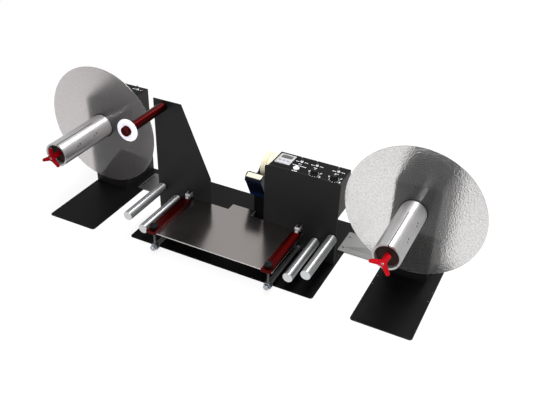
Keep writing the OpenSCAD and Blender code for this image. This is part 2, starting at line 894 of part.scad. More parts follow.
module rear_covers() color("#242427") {
    difference() {
        cover(panel_x, shell_end_y, housing_z, panel_w, shell_h,
              housing_z + control_vent_z_share * shell_h);
        for (p = control_cover_screws) translate([p[0], shell_end_y + sheet_t, p[1]])
            rotate([-90, 0, 0]) small_hole(sheet_t + cut);
        translate([control_jack_x, shell_end_y - cut, control_jack_z])
            rod_back(sheet_t + 2 * cut, jack_d + 2 * slip);
    }
    for (i = [0, 1]) difference() {
        cover(box_places[i], box_end_y, deck_z, box_w, box_h - deck_z,
              deck_z + vent_z_share * (box_h - deck_z));
        for (p = station_cover_screws(i)) translate([p[0], box_end_y + sheet_t, p[1]])
            rotate([-90, 0, 0]) small_hole(sheet_t + cut);
        translate([inlet_x(i) - inlet_w / 2 - slip, box_end_y - cut,
                   inlet_z - inlet_h / 2 - slip])
            cube([inlet_w + 2 * slip, sheet_t + 2 * cut, inlet_h + 2 * slip]);
        translate([inlet_x(i), box_end_y - cut, jack_z])
            rod_back(sheet_t + 2 * cut, jack_d + 2 * slip);
    }
}

function inlet_x(i) = box_places[i] + box_w / 2;
inlet_z = inlet_z_share * box_h;
jack_z = jack_z_share * box_h;

module power_inlets() color("#101012") {
    for (i = [0, 1]) {
        difference() {
            union() {
                translate([inlet_x(i) - inlet_w / 2, box_end_y + sheet_t - inlet_l,
                           inlet_z - inlet_h / 2])
                    cube([inlet_w, inlet_l, inlet_h]);
                translate([inlet_x(i) - inlet_flange_w / 2, box_end_y + sheet_t,
                           inlet_z - inlet_flange_h / 2])
                    cube([inlet_flange_w, inlet_flange_t, inlet_flange_h]);
            }
            translate([inlet_x(i) - inlet_recess_w / 2,
                       box_end_y + sheet_t + inlet_flange_t - inlet_recess_l,
                       inlet_z - inlet_recess_h / 2])
                cube([inlet_recess_w, inlet_recess_l + cut, inlet_recess_h]);
        }
        for (s = [-1, 0, 1])
            translate([inlet_x(i) + s * prong_pitch - prong_w / 2,
                       box_end_y + sheet_t + inlet_flange_t - inlet_recess_l,
                       inlet_z - prong_t / 2])
                cube([prong_w, prong_l, prong_t]);
        translate([inlet_x(i), box_end_y + sheet_t, jack_z]) jack();
    }
    translate([control_jack_x, shell_end_y + sheet_t, control_jack_z]) jack();
}

module jack() {
    difference() {
        union() {
            translate([0, jack_rim_t - jack_l, 0]) rod_back(jack_l, jack_d);
            rod_back(jack_rim_t, jack_rim_d);
        }
        translate([0, jack_rim_t - jack_bore_l, 0]) rod_back(jack_bore_l + cut, jack_bore_d);
    }
}

// Controls
module counter() color("#3a3a3c") {
    screen_w = counter_w * screen_w_share;
    screen_d = counter_d * screen_d_share;
    translate([counter_at[0], counter_at[1], panel_z]) {
        difference() {
            union() {
                translate([-counter_w / 2, -counter_d / 2, 0])
                    cube([counter_w, counter_d, counter_proud]);
                translate([-counter_w / 2 + counter_rim + slip,
                           -counter_d / 2 + counter_rim + slip, -counter_body_h])
                    cube([counter_w - 2 * counter_rim - 2 * slip,
                          counter_d - 2 * counter_rim - 2 * slip, counter_body_h]);
            }
            translate([-screen_w / 2, screen_back_share * counter_d - screen_d / 2,
                       counter_proud - screen_depth])
                cube([screen_w, screen_d, screen_depth + cut]);
        }
        for (k = key_shares)
            translate([k * counter_w - key_w_share * counter_w / 2,
                       -keypad_share * counter_d - key_d_share * counter_d / 2, counter_proud])
                cube([key_w_share * counter_w, key_d_share * counter_d, key_proud]);
    }
}

module toggle_body() {
    difference() {
        union() {
            translate([0, 0, -sheet_t]) cylinder(h = sheet_t + toggle_bush_h, d = toggle_bush_d);
            translate([-toggle_body_w / 2, -toggle_body_l / 2, -sheet_t - toggle_body_h])
                cube([toggle_body_w, toggle_body_l, toggle_body_h]);
            cylinder(h = toggle_nut_h, d = toggle_nut_af / cos(30), $fn = 6);
        }
        translate([0, 0, toggle_bush_h - 2 * toggle_neck_l])
            cylinder(h = 2 * toggle_neck_l + cut, d = toggle_bore_d);
    }
}

module switch_bodies() color("#9a9a9c") {
    for (p = toggle_places) translate([p[0], p[1], panel_z]) toggle_body();
    for (x = box_places) translate([x + station_toggle_share[0] * box_w,
                                    box_y + station_toggle_share[1] * box_d, box_h])
        toggle_body();
    translate([button_at[0], button_at[1], panel_z]) difference() {
        union() {
            cylinder(h = bezel_h, d = bezel_d);
            translate([0, 0, -button_can_h]) cylinder(h = button_can_h, d = button_can_d);
        }
        translate([0, 0, -button_can_h + button_floor])
            cylinder(h = button_can_h + bezel_h + cut, d = button_d + 2 * gap);
    }
}

module push_button() color("#e8e6e0") {
    translate([button_at[0], button_at[1], panel_z + button_proud - button_cap_l]) {
        cylinder(h = button_cap_l, d = button_d);
        translate([0, 0, -button_stem_l]) cylinder(h = button_stem_l + cut, d = button_stem_d);
    }
}

button_stem_l = button_can_h + button_proud - button_cap_l - button_floor - button_travel - cut;

// A toggle's lever, from the middle of its ball
module toggle_lever() {
    sphere(d = toggle_ball_d);
    translate([0, 0, -toggle_neck_l]) cylinder(h = toggle_neck_l, d = toggle_neck_d);
    cylinder(h = toggle_h - toggle_bush_h - toggle_tip_d / 2, d1 = toggle_neck_d, d2 = toggle_tip_d);
    translate([0, 0, toggle_h - toggle_bush_h - toggle_tip_d / 2]) sphere(d = toggle_tip_d);
}

module panel_toggle(i) color("#c9ccd0")
    translate([toggle_places[i][0], toggle_places[i][1], panel_z + toggle_bush_h]) toggle_lever();

module left_toggle() panel_toggle(0);
module middle_toggle() panel_toggle(1);
module right_toggle() panel_toggle(2);

module station_toggle(i) color("#c9ccd0")
    translate([box_places[i] + station_toggle_share[0] * box_w,
               box_y + station_toggle_share[1] * box_d, box_h + toggle_bush_h])
        toggle_lever();

module left_station_toggle() station_toggle(0);
module right_station_toggle() station_toggle(1);

module pilot_lamps() color("#b02020") {
    for (x = box_places)
        translate([x + lamp_share[0] * box_w, box_y + lamp_share[1] * box_d, box_h]) {
            cylinder(h = lamp_rim_h, d = lamp_rim_d);
            translate([0, 0, lamp_rim_h / 2]) sphere(d = lamp_d);
            translate([0, 0, -lamp_body_l]) cylinder(h = lamp_body_l + lamp_rim_h, d = lamp_d);
        }
}

module potentiometers() color("#7c7f84") {
    for (p = dial_places) translate([p[0], p[1], panel_z]) difference() {
        union() {
            translate([0, 0, -sheet_t - pot_h]) cylinder(h = pot_h, d = pot_d);
            translate([0, 0, -sheet_t - cut]) cylinder(h = sheet_t + cut + pot_bush_h, d = pot_bush_d);
            cylinder(h = pot_nut_h, d = pot_nut_af / cos(30), $fn = 6);
        }
        translate([0, 0, -pot_shaft_l]) cylinder(h = pot_shaft_l + pot_bush_h + cut,
                                                 d = pot_shaft_d + 2 * run);
    }
}

module dial(i) color("#1a1a1c") translate([dial_places[i][0], dial_places[i][1], panel_z]) {
    difference() {
        translate([0, 0, dial_gap]) cylinder(h = dial_h - dial_gap, d1 = dial_d,
                                             d2 = dial_d * dial_top_share);
        translate([0, 0, dial_gap - cut]) cylinder(h = dial_recess_h + cut, d = dial_recess_d);
        translate([-pointer_w / 2, 0, dial_h - pointer_depth])
            cube([pointer_w, dial_d * pointer_l_share, pointer_depth + cut]);
    }
    translate([0, 0, -pot_shaft_l + cut])
        cylinder(h = pot_shaft_l + dial_recess_h, d = pot_shaft_d);
}

module left_dial() dial(0);
module right_dial() dial(1);

// Idler rollers
module roller_shafts() color("#b8babd") {
    for (p = roller_places) translate([p[0], 0, p[1]]) {
        translate([0, shaft_front_y, 0]) rod_back(tower_y - shaft_front_y, roller_shaft_d);
        translate([0, tower_y - cut, 0]) rod_back(cut + tower_t + shaft_stem_l, shaft_stem_d);
    }
}

module roller_bushes() color("#b08a4a") {
    for (p = roller_places, y = [front_bush_y, rear_bush_y]) translate([p[0], y, p[1]])
        difference() {
            rod_back(bush_l, bush_d);
            translate([0, -cut, 0]) rod_back(bush_l + 2 * cut, roller_shaft_d);
        }
}

module roller(front_y, d) {
    difference() {
        translate([0, front_y, 0]) rod_back(tower_y - roller_gap - front_y, d);
        translate([0, front_y + roller_wall, 0])
            rod_back(tower_y - front_y, bush_d + 2 * run);
    }
}

module idler(i) color("#c4c6ca") translate([roller_places[i][0], 0, roller_places[i][1]])
    roller(roller_front_y, roller_d);

module left_outer_roller() idler(0);
module left_inner_roller() idler(1);
module right_outer_roller() idler(3);

module right_inner_roller() difference() {
    idler(2);
    for (a = [0, 90, 180, 270])
        translate([inner_roller_x + sensor_r * cos(a), tower_y - roller_gap - magnet_depth,
                   inner_roller_z + sensor_r * sin(a)])
            rod_back(magnet_depth + cut, magnet_d);
}

module roller_sensor() color("#8c8f94")
    translate([inner_roller_x, tower_y, inner_roller_z - sensor_r]) {
        rod_back(sensor_l, sensor_d);
        translate([0, tower_t, 0]) nut_back(sensor_nut_h, shaft_nut_af, sensor_d);
    }

module guide_roller() color("#5a0d0d") translate([left_guide_x, 0, guide_z])
    roller(guide_front_y, guide_d);

module guide_flange() color("#efeff0")
    translate([left_guide_x, guide_front_y + guide_tip, guide_z]) difference() {
        union() {
            rod_back(guide_flange_t, guide_flange_d);
            rod_back(guide_flange_t + guide_hub_l, guide_hub_d);
        }
        translate([0, -cut, 0])
            rod_back(guide_flange_t + guide_hub_l + 2 * cut, guide_d + 2 * slip);
    }

// Splicing table
module splicing_table() color("#94908c") difference() {
    union() {
        translate([-table_w / 2, tower_y - table_d, table_under_z])
            cube([table_w, table_d, table_t]);
        translate([-tab_shift - tab_w / 2, tower_y - cut, table_under_z])
            cube([tab_w, tab_d + cut, table_t]);
    }
    for (s = clamp_sides) {
        translate([s * clamp_x, stud_y, table_under_z - cut])
            cylinder(h = table_t + 2 * cut, d = table_notch_w);
        translate([s * clamp_x - table_notch_w / 2, tower_y - table_d - cut, table_under_z - cut])
            cube([table_notch_w, stud_y - tower_y + table_d + cut, table_t + 2 * cut]);
    }
    for (p = gusset_screws) translate([p[0], p[1], table_under_z])
        rotate([180, 0, 0]) screw_hole(blind);
}

module gusset(x) {
    translate([x - gusset_w / 2, 0, 0]) {
        translate([0, tower_y - gusset_d, table_under_z - gusset_t])
            cube([gusset_w, gusset_d, gusset_t]);
        translate([0, tower_y - gusset_t, table_under_z - gusset_h])
            cube([gusset_w, gusset_t, gusset_h]);
        for (x1 = [0, gusset_w - gusset_t]) translate([x1, 0, 0])
            side_profile(gusset_t, [
                [tower_y - gusset_d, table_under_z],
                [tower_y - gusset_d, table_under_z - 2 * gusset_t],
                [tower_y - gusset_t, table_under_z - gusset_h],
                [tower_y, table_under_z - gusset_h], [tower_y, table_under_z]
            ]);
    }
}

module table_brackets() color("#2a2a2d") {
    for (x = [-gusset_x, gusset_x]) difference() {
        gusset(x);
        for (p = gusset_screws) translate([p[0], p[1], table_under_z - gusset_t])
            rotate([180, 0, 0]) screw_hole(gusset_t + cut);
        for (x1 = [-gusset_w / 4, gusset_w / 4])
            translate([x + x1, tower_y, gusset_bolt_z])
                rotate([-90, 0, 0]) screw_hole(gusset_t + cut);
    }
}

// Clamps
module clamp_rods() color("#38383c") {
    for (s = clamp_sides) translate([s * clamp_x, 0, rod_z]) difference() {
        union() {
            translate([0, rod_front_y, 0]) rod_back(tower_y - rod_front_y, rod_d);
            translate([0, tower_y - cut, 0]) rod_back(cut + tower_t + rod_stem_l, rod_stem_d);
        }
        translate([0, rod_front_y - cut, 0]) rod_back(pivot_grip + 2 * cut, pivot_d + 2 * slip);
    }
}

module clamp_eye_bolts() color("#c5cbd2") {
    for (s = clamp_sides) translate([s * clamp_x, stud_y, rod_z]) difference() {
        union() {
            translate([0, -eye_l / 2, 0]) rod_back(eye_l, eye_d);
            cylinder(h = stud_top_z - rod_z, d = stud_d);
        }
        translate([0, -eye_l / 2 - cut, 0]) rod_back(eye_l + 2 * cut, pivot_d + 2 * slip);
    }
}

module hinge_brackets() color("#d4d7da") {
    for (s = clamp_sides) translate([s * clamp_x, 0, 0]) {
        difference() {
            union() {
                translate([-bracket_w / 2, tower_y - bracket_t, pin_z - bracket_h / 2])
                    cube([bracket_w, bracket_t, bracket_h]);
                for (x = [-bracket_w / 2, bracket_w / 2 - ear_t]) {
                    translate([x, pin_y, pin_z - ear_d / 2])
                        cube([ear_t, pin_set - bracket_t / 2, ear_d]);
                    translate([x, pin_y, pin_z]) rotate([0, 90, 0])
                        cylinder(h = ear_t, d = ear_d);
                }
            }
            translate([-bracket_w / 2 - cut, pin_y, pin_z]) rotate([0, 90, 0])
                cylinder(h = bracket_w + 2 * cut, d = pin_d + 2 * run);
            for (z = [-bracket_screw_set, bracket_screw_set])
                translate([0, tower_y, pin_z + z]) rotate([-90, 0, 0]) small_hole(blind);
        }
        translate([-bracket_w / 2 - gap, pin_y, pin_z]) rotate([0, 90, 0])
            cylinder(h = bracket_w + 2 * gap, d = pin_d);
    }
}

module clamp_bar(s) color("#5c0b0b") translate([s * clamp_x, 0, 0]) difference() {
    union() {
        translate([-bar_w / 2, bar_front_y, bar_z])
            cube([bar_w, bar_rear_y - bar_front_y, bar_t]);
        translate([-tongue_w / 2, 0, 0]) side_profile(tongue_w, [
            [bar_rear_y - cut, bar_z], [pin_y - knuckle_d / 4, bar_z],
            [pin_y + knuckle_d / 2, pin_z - knuckle_d / 4],
            [pin_y, pin_z], [pin_y - knuckle_d / 2, pin_z],
            [bar_rear_y - cut, bar_top_z]
        ]);
        translate([-tongue_w / 2, pin_y, pin_z]) rotate([0, 90, 0])
            cylinder(h = tongue_w, d = knuckle_d);
    }
    translate([-tongue_w / 2 - cut, pin_y, pin_z]) rotate([0, 90, 0])
        cylinder(h = tongue_w + 2 * cut, d = pin_d + 2 * run);
    translate([0, stud_y, bar_z - cut]) cylinder(h = bar_t + 2 * cut, d = stud_hole_d);
}

module left_clamp_bar() clamp_bar(-1);
module right_clamp_bar() clamp_bar(1);

module clamp_knob(s) color("#161618") translate([s * clamp_x, stud_y, knob_z]) difference() {
    cylinder(h = clamp_knob_h, d = clamp_knob_d);
    translate([0, 0, -cut]) cylinder(h = clamp_knob_h - knob_roof + cut, d = knob_bore_d);
}

module left_clamp_knob() clamp_knob(-1);
module right_clamp_knob() clamp_knob(1);

// Reel stations
module station_housings() color("#232326") {
    for (i = [0, 1]) difference() {
        translate([box_places[i], box_y, deck_z]) shell(box_w, box_shell_d, box_h - deck_z, false);
        translate([spindle_places[i], box_y - cut, spindle_z])
            rod_back(sheet_t + 2 * cut, shaft_hole_d);
        for (a = bearing_turns)
            translate([spindle_places[i] + bearing_screw_r * cos(a), box_y,
                       spindle_z + bearing_screw_r * sin(a)])
                rotate([90, 0, 0]) small_hole(sheet_t + cut);
        for (p = housing_floor_screws(i)) translate([p[0], p[1], floor_top_z])
            screw_hole(sheet_t + cut);
        for (p = station_cover_screws(i)) translate([p[0], box_end_y, p[1]])
            rotate([-90, 0, 0]) small_hole(sheet_t + cut);
        translate([box_places[i] + station_toggle_share[0] * box_w,
                   box_y + station_toggle_share[1] * box_d, box_h - sheet_t - cut])
            cylinder(h = sheet_t + 2 * cut, d = toggle_bush_d + 2 * slip);
        translate([box_places[i] + lamp_share[0] * box_w,
                   box_y + lamp_share[1] * box_d, box_h - sheet_t - cut])
            cylinder(h = sheet_t + 2 * cut, d = lamp_d + 2 * slip);
    }
}

module spindle_bearings() color("#8b8e93") {
    for (x = spindle_places) translate([x, box_y + sheet_t, spindle_z]) difference() {
        union() {
            rod_back(bearing_flange_t, bearing_flange_d);
            rod_back(bearing_l, bearing_hub_d);
        }
        translate([0, -cut, 0]) rod_back(bearing_l + 2 * cut, shaft_d + 2 * run);
        for (a = bearing_turns)
            translate([bearing_screw_r * cos(a), 0, bearing_screw_r * sin(a)])
                rotate([90, 0, 0]) small_hole(bearing_flange_t - 2 * small_head_h / 2);
    }
}

module gearmotors() color("#5d6064") {
    for (x = spindle_places) translate([x, gear_y, spindle_z]) {
        difference() {
            translate([-gear_w / 2, 0, -gear_down]) cube([gear_w, gear_l, gear_down + gear_up]);
            translate([0, -cut, 0]) rod_back(gear_l + 2 * cut, shaft_d + 2 * run);
            for (sx = [-1, 1], z = [bracket_screw_up, -bracket_screw_down])
                translate([sx * bracket_screw_x, 0, z]) rotate([90, 0, 0]) screw_hole(2 * screw_d);
        }
        translate([0, gear_l / 2, -gear_down - motor_l]) cylinder(h = motor_l + cut, d = motor_d);
        translate([0, gear_l / 2, -gear_down - motor_l - motor_cap_l])
            cylinder(h = motor_cap_l + cut, d = motor_cap_d);
    }
}

module motor_brackets() color("#6d7074") {
    plate_h = spindle_z + gear_up - floor_top_z;
    for (x = spindle_places) difference() {
        union() {
            translate([x - gear_w / 2, gear_y - bracket_plate_t, floor_top_z])
                cube([gear_w, bracket_plate_t, plate_h]);
            translate([x - gear_w / 2, gear_y - bracket_foot_d, floor_top_z])
                cube([gear_w, bracket_foot_d, bracket_plate_t]);
            for (x1 = [0, gear_w - bracket_rib_t]) translate([x - gear_w / 2 + x1, 0, 0])
                side_profile(bracket_rib_t, [
                    [gear_y - bracket_foot_d, floor_top_z], [gear_y, floor_top_z],
                    [gear_y, floor_top_z + plate_h / 2],
                    [gear_y - bracket_plate_t, floor_top_z + plate_h / 2],
                    [gear_y - bracket_foot_d, floor_top_z + 2 * bracket_plate_t]
                ]);
        }
        translate([x, gear_y - bracket_plate_t - cut, spindle_z])
            rod_back(bracket_plate_t + 2 * cut, shaft_hole_d);
        for (s = [-1, 1], z = [bracket_screw_up, -bracket_screw_down])
            translate([x + s * bracket_screw_x, gear_y - bracket_plate_t, spindle_z + z])
                rotate([90, 0, 0]) screw_hole(bracket_plate_t + cut);
        for (s = [-1, 1])
            translate([x + s * motor_foot_screw_x, gear_y - bracket_foot_d / 2,
                       floor_top_z + bracket_plate_t])
                screw_hole(bracket_plate_t + cut);
    }
}

// A board on four posts, from its front left corner
module board(w, d) {
    translate([0, 0, board_up]) cube([w, d, board_t]);
    for (x = [board_post_inset, w - board_post_inset], y = [board_post_inset, d - board_post_inset])
        translate([x, y, 0]) cylinder(h = board_up + cut, d = post_d);
}

module circuit_boards() color("#1f5a35") {
    for (x = box_places)
        translate([x + (box_w - board_w) / 2, box_end_y - sheet_t - board_d - board_inset_y,
                   floor_top_z]) {
            board(board_w, board_d);
            translate([2 * board_post_inset, 2 * board_post_inset, board_up])
                cube([coil_w, coil_d, coil_h]);
            translate([board_w / 2 + can_d / 2, board_d / 3, board_up]) cylinder(h = can_h, d = can_d);
            translate([board_w - heat_w - 2 * board_post_inset, board_d - 3 * heat_d, board_up])
                cube([heat_w, heat_d, heat_h]);
        }
    translate([panel_x + (panel_w - control_board_w) / 2, shell_y + sheet_t + flange_w,
               housing_z + sheet_t]) {
        board(control_board_w, control_board_d);
        for (s = [0.2, 0.45, 0.7])
            translate([s * control_board_w, control_board_d / 3, board_up])
                cube([chip_w, chip_d, board_t + chip_h]);
        for (s = [0.15, 0.35, 0.55, 0.75])
            translate([s * control_board_w, control_board_d - plug_d - board_t, board_up])
                cube([plug_w, plug_d, plug_h]);
    }
}

// Spindles
module spindle(i) color("#a9acb1") translate([spindle_places[i], 0, spindle_z]) difference() {
    union() {
        translate([0, spindle_front_y, 0]) rod_back(spindle_rear_y - spindle_front_y, shaft_d);
        translate([0, disc_back_y, 0]) rod_back(spindle_flange_t, spindle_flange_d);
        translate([0, disc_back_y, 0]) rod_back(spindle_flange_t + spindle_hub_l, spindle_hub_d);
    }
    translate([0, spindle_front_y - cut, 0]) rod_back(draw_bore_l + cut, draw_d + 2 * gap);
}

module left_spindle() spindle(0);
module right_spindle() spindle(1);

module disc(i) color("#c8cacd", 0.55) translate([spindle_places[i], disc_front_y, spindle_z])
    difference() {
        rod_back(disc_t, disc_d);
        translate([0, -cut, 0]) rod_back(disc_t + 2 * cut, shaft_d + 2 * slip);
    }

module left_disc() disc(0);
module right_disc() disc(1);

module core_tube(i, slot_angle) color("#c9cbcf")
    translate([spindle_places[i], tube_front_y, spindle_z]) difference() {
        rod_back(core_l, core_d);
        translate([0, -cut, 0]) rod_back(core_l - plug_l + cut, 2 * core_in_r);
        translate([0, core_l - plug_l - cut, 0]) rod_back(plug_l + 2 * cut, shaft_d + 2 * slip);
        for (a = slot_turns) rotate([0, -slot_angle - a, 0])
            translate([core_in_r - cut, -cut, -core_slot_w / 2])
                cube([core_wall + 2 * cut, core_slot_l + cut, core_slot_w]);
        for (y = core_screw_shares, k = [0, 1]) rotate([0, core_screw_turns[k] - slot_angle, 0])
            translate([core_in_r - cut, core_l * (1 - y) - k * core_screw_step, 0]) rotate([0, 90, 0])
                cylinder(h = core_wall + 2 * cut, d = core_screw_d);
    }

module left_core_tube() core_tube(0, left_slot_angle);
module right_core_tube() core_tube(1, right_slot_angle);

module draw_cone(i) color("#3a3a3e") translate([spindle_places[i], cone_fronts_y[i], spindle_z])
    difference() {
        rotate([-90, 0, 0]) cylinder(h = cone_l, r1 = core_in_r - cone_clear,
                                     r2 = core_in_r - cone_clear - cone_taper);
        translate([0, -cut, 0]) rod_back(cone_l + 2 * cut, draw_d + 2 * gap);
    }

module left_draw_cone() draw_cone(0);
module right_draw_cone() draw_cone(1);

// A star knob with its collar and draw screw, from the place of its cone's front
module star_knob(i, angle) color("#c01428")
    translate([spindle_places[i], cone_fronts_y[i] - gap, spindle_z]) {
        collar_l = knob_reach + cone_set - knob_t - gap;
        lean = asin(knob_dish / knob_r);
        translate([0, -collar_l, 0]) rod_back(collar_l, collar_d);
        translate([0, -cut, 0]) rod_back(draw_l(i) + cut, draw_d);
        translate([0, -collar_l - knob_t, 0]) {
            difference() {
                union() {
                    translate([0, knob_dish, 0]) rod_back(knob_t - knob_dish, hub_d);
                    for (a = knob_turns) rotate([0, -angle - a, 0])
                        translate([0, knob_dish, 0]) rotate([0, 0, -lean]) {
                            translate([0, 0, -knob_arm_w / 2])
                                cube([knob_r - knob_arm_w / 2, knob_arm_t, knob_arm_w]);
                            translate([knob_r - knob_arm_w / 2, 0, 0]) rod_back(knob_arm_t, knob_arm_w);
                        }
                    translate([0, knob_dish - cap_h, 0]) rod_back(2 * cap_h, cap_d);
                }
                translate([0, knob_dish - cap_h - cut, 0]) rotate([-90, 0, 0])
                    cylinder(h = 2 * cap_h + cut, d = cap_socket_af / cos(30), $fn = 6);
            }
        }
    }

function draw_l(i) = spindle_front_y + draw_grip - cone_fronts_y[1];

module left_knob() star_knob(0, left_knob_angle);
module right_knob() star_knob(1, right_knob_angle);

// Tape dispenser
function on_cheek(shares) = [for (s = shares) [nose_y + s[0] * dispenser_l, dispenser_z + s[1] * nose_h]];

module cheek() {
    side_profile(cheek_t, on_cheek(cheek_shares));
    translate([0, roll_y, roll_z]) rotate([0, 90, 0]) cylinder(h = cheek_t, d = cheek_end_d);
}

module tape_dispenser() color("#10142c") difference() {
    translate([dispenser_left_x, 0, 0]) {
        cheek();
        translate([dispenser_w - cheek_t, 0, 0]) cheek();
        side_profile(dispenser_w, on_cheek(front_wall_shares));
        side_profile(dispenser_w, on_cheek(nose_shares));
        translate([0, nose_y + floor_shares[0][0] * dispenser_l, dispenser_z])
            cube([dispenser_w, (floor_shares[1][0] - floor_shares[0][0]) * dispenser_l,
                  dispenser_floor_t]);
        translate([0, roll_y, roll_z]) rotate([0, 90, 0]) cylinder(h = dispenser_w, d = axle_d);
    }
    for (s = [-1, 1]) translate([dispenser_x + s * post_screw_x, post_y + post_w / 2,
                                 dispenser_z + dispenser_floor_t])
        screw_hole(dispenser_floor_t + cut);
}

module tape_roll() color("#efe6c4")
    translate([dispenser_x - tape_w / 2, roll_y, roll_z]) rotate([0, 90, 0]) difference() {
        cylinder(h = tape_w, d = roll_d);
        translate([0, 0, -cut]) cylinder(h = tape_w + 2 * cut, d = axle_d + 2 * run);
    }

// Turns a line's direction from its two ends
function line_angle(a, b) = atan2(b[1] - a[1], b[0] - a[0]);
strip_ends = on_cheek(strip_shares);
strip_angle = line_angle(strip_ends[0], strip_ends[1]);
strip_l = norm(strip_ends[1] - strip_ends[0]);

module tape_strip() color("#f3ecd0")
    translate([dispenser_x - tape_w / 2, strip_ends[0][0], strip_ends[0][1]])
        rotate([strip_angle, 0, 0]) translate([0, -strip_lead, blade_t])
            cube([tape_w, strip_l + strip_lead, strip_t]);

module tape_blade() color("#d9dce0")
    translate([dispenser_x - tape_w / 2, strip_ends[0][0], strip_ends[0][1]])
        rotate([strip_angle, 0, 0]) linear_extrude(height = blade_t) polygon(concat(
            [[0, blade_band], [0, -blade_rise]],
            [for (k = [0 : blade_teeth - 1]) each [
                [(k + 0.5) * tape_w / blade_teeth, -blade_rise - blade_tooth],
                [(k + 1) * tape_w / blade_teeth, -blade_rise]]],
            [[tape_w, blade_band]]
        ));

module tape_post() color("#18181a") difference() {
    translate([dispenser_x - post_w / 2, post_y, deck_z])
        cube([post_w, post_w, dispenser_z - deck_z]);
    translate([dispenser_x - post_w / 2 + post_wall, post_y + post_wall, deck_z + post_wall])
        cube([post_w - 2 * post_wall, post_w - 2 * post_wall,
              dispenser_z - deck_z - 2 * post_wall]);
    for (s = [-1, 1]) translate([dispenser_x + s * post_screw_x, post_y + post_w / 2, 0]) {
        post_screw_hole();
        translate([0, 0, dispenser_z]) screw_hole(post_wall + cut);
    }
}

// Screws, nuts and washers
module screws() color("#b9bcc0") {
    for (p = foot_screws) translate([p[0], p[1], deck_z + tower_t]) screw(tower_t + plate_t);
    for (p = concat(slot_screws, link_screws)) translate([p[0], p[1], deck_z + link_t])
        screw(link_t + plate_t);
    for (p = roller_places) translate([p[0], tower_back_y, p[1]])
        nut_back(shaft_nut_h, shaft_nut_af, shaft_stem_d);
    for (s = clamp_sides) translate([s * clamp_x, 0, 0]) {
        translate([0, tower_back_y, rod_z]) nut_back(rod_back_nut_h, rod_back_nut_af, rod_stem_d);
        translate([0, tower_y - rod_nut_h, rod_z]) nut_back(rod_nut_h, rod_nut_af, rod_d);
        translate([0, 0, rod_z]) clamp_pivot();
        for (z = [-bracket_screw_set, bracket_screw_set])
            translate([0, tower_back_y, pin_z + z]) rotate([-90, 0, 0])
                small_screw(tower_t + blind - gap);
    }
    for (x = [-gusset_x, gusset_x], x1 = [-gusset_w / 4, gusset_w / 4])
        translate([x + x1, tower_back_y, gusset_bolt_z]) rotate([-90, 0, 0])
            screw(tower_t + gusset_t - gap);
    for (p = gusset_screws) translate([p[0], p[1], table_under_z - gusset_t])
        rotate([180, 0, 0]) screw(gusset_t + blind - gap);
    for (p = panel_flange_screws) translate([p[0], shell_y + sheet_t, p[1]])
        rotate([-90, 0, 0]) small_screw(sheet_t + blind - gap);
    for (p = control_cover_screws) translate([p[0], shell_end_y + sheet_t, p[1]])
        rotate([-90, 0, 0]) small_screw(2 * sheet_t);
    for (i = [0, 1]) {
        for (p = station_cover_screws(i)) translate([p[0], box_end_y + sheet_t, p[1]])
            rotate([-90, 0, 0]) small_screw(2 * sheet_t);
        for (k = [0 : 3]) translate([housing_floor_screws(i)[k][0],
                                     housing_floor_screws(i)[k][1], floor_top_z])
            screw(sheet_t + plate_t);
        for (k = [4, 5]) translate([housing_floor_screws(i)[k][0],
                                    housing_floor_screws(i)[k][1], floor_top_z + bracket_plate_t])
            screw(sheet_t + plate_t + bracket_plate_t);
        for (a = bearing_turns)
            translate([spindle_places[i] + bearing_screw_r * cos(a), box_y,
                       spindle_z + bearing_screw_r * sin(a)])
                rotate([90, 0, 0]) small_screw(sheet_t + small_head_h);
        for (s = [-1, 1], z = [bracket_screw_up, -bracket_screw_down])
            translate([spindle_places[i] + s * bracket_screw_x, gear_y - bracket_plate_t,
                       spindle_z + z])
                rotate([90, 0, 0]) screw(bracket_plate_t + screw_d);
    }
    for (s = [-1, 1]) translate([dispenser_x + s * post_screw_x, post_y + post_w / 2, 0]) {
        translate([0, 0, foot_h]) cylinder(h = plate_t + post_wall, d = screw_d);
        translate([0, 0, dispenser_z + dispenser_floor_t]) screw(dispenser_floor_t + post_wall);
    }
}

module clamp_pivot() {
    translate([0, stud_y - eye_l / 2 - washer_t - pivot_nut_h - pivot_end, 0])
        rod_back(pivot_end + pivot_nut_h + 2 * washer_t + eye_l + pivot_grip, pivot_d);
    for (y = [stud_y + eye_l / 2, stud_y - eye_l / 2 - washer_t]) translate([0, y, 0])
        difference() {
            rod_back(washer_t, washer_d);
            translate([0, -cut, 0]) rod_back(washer_t + 2 * cut, pivot_d + 2 * slip);
        }
    translate([0, stud_y - eye_l / 2 - washer_t - pivot_nut_h, 0])
        nut_back(pivot_nut_h, pivot_nut_af, pivot_d);
}

splice_base();
station_bases();
link_plates();
left_tower();
right_tower();
control_housing();
rear_covers();
station_housings();
splicing_table();
table_brackets();
clamp_rods();
clamp_eye_bolts();
hinge_brackets();
roller_shafts();
roller_bushes();
roller_sensor();
counter();
switch_bodies();
pilot_lamps();
potentiometers();
spindle_bearings();
gearmotors();
motor_brackets();
circuit_boards();
power_inlets();
tape_post();
tape_dispenser();
tape_blade();
tape_strip();
screws();
rubber_feet();
left_outer_roller();
left_inner_roller();
right_inner_roller();
right_outer_roller();
guide_roller();
guide_flange();
left_clamp_bar();
right_clamp_bar();
left_clamp_knob();
right_clamp_knob();
push_button();
left_toggle();
middle_toggle();
right_toggle();
left_dial();
right_dial();
left_station_toggle();
right_station_toggle();
tape_roll();
left_spindle();
left_disc();
left_core_tube();
left_draw_cone();
left_knob();
right_spindle();
right_disc();
right_core_tube();
right_draw_cone();
right_knob();
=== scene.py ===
"""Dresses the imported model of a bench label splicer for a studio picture."""

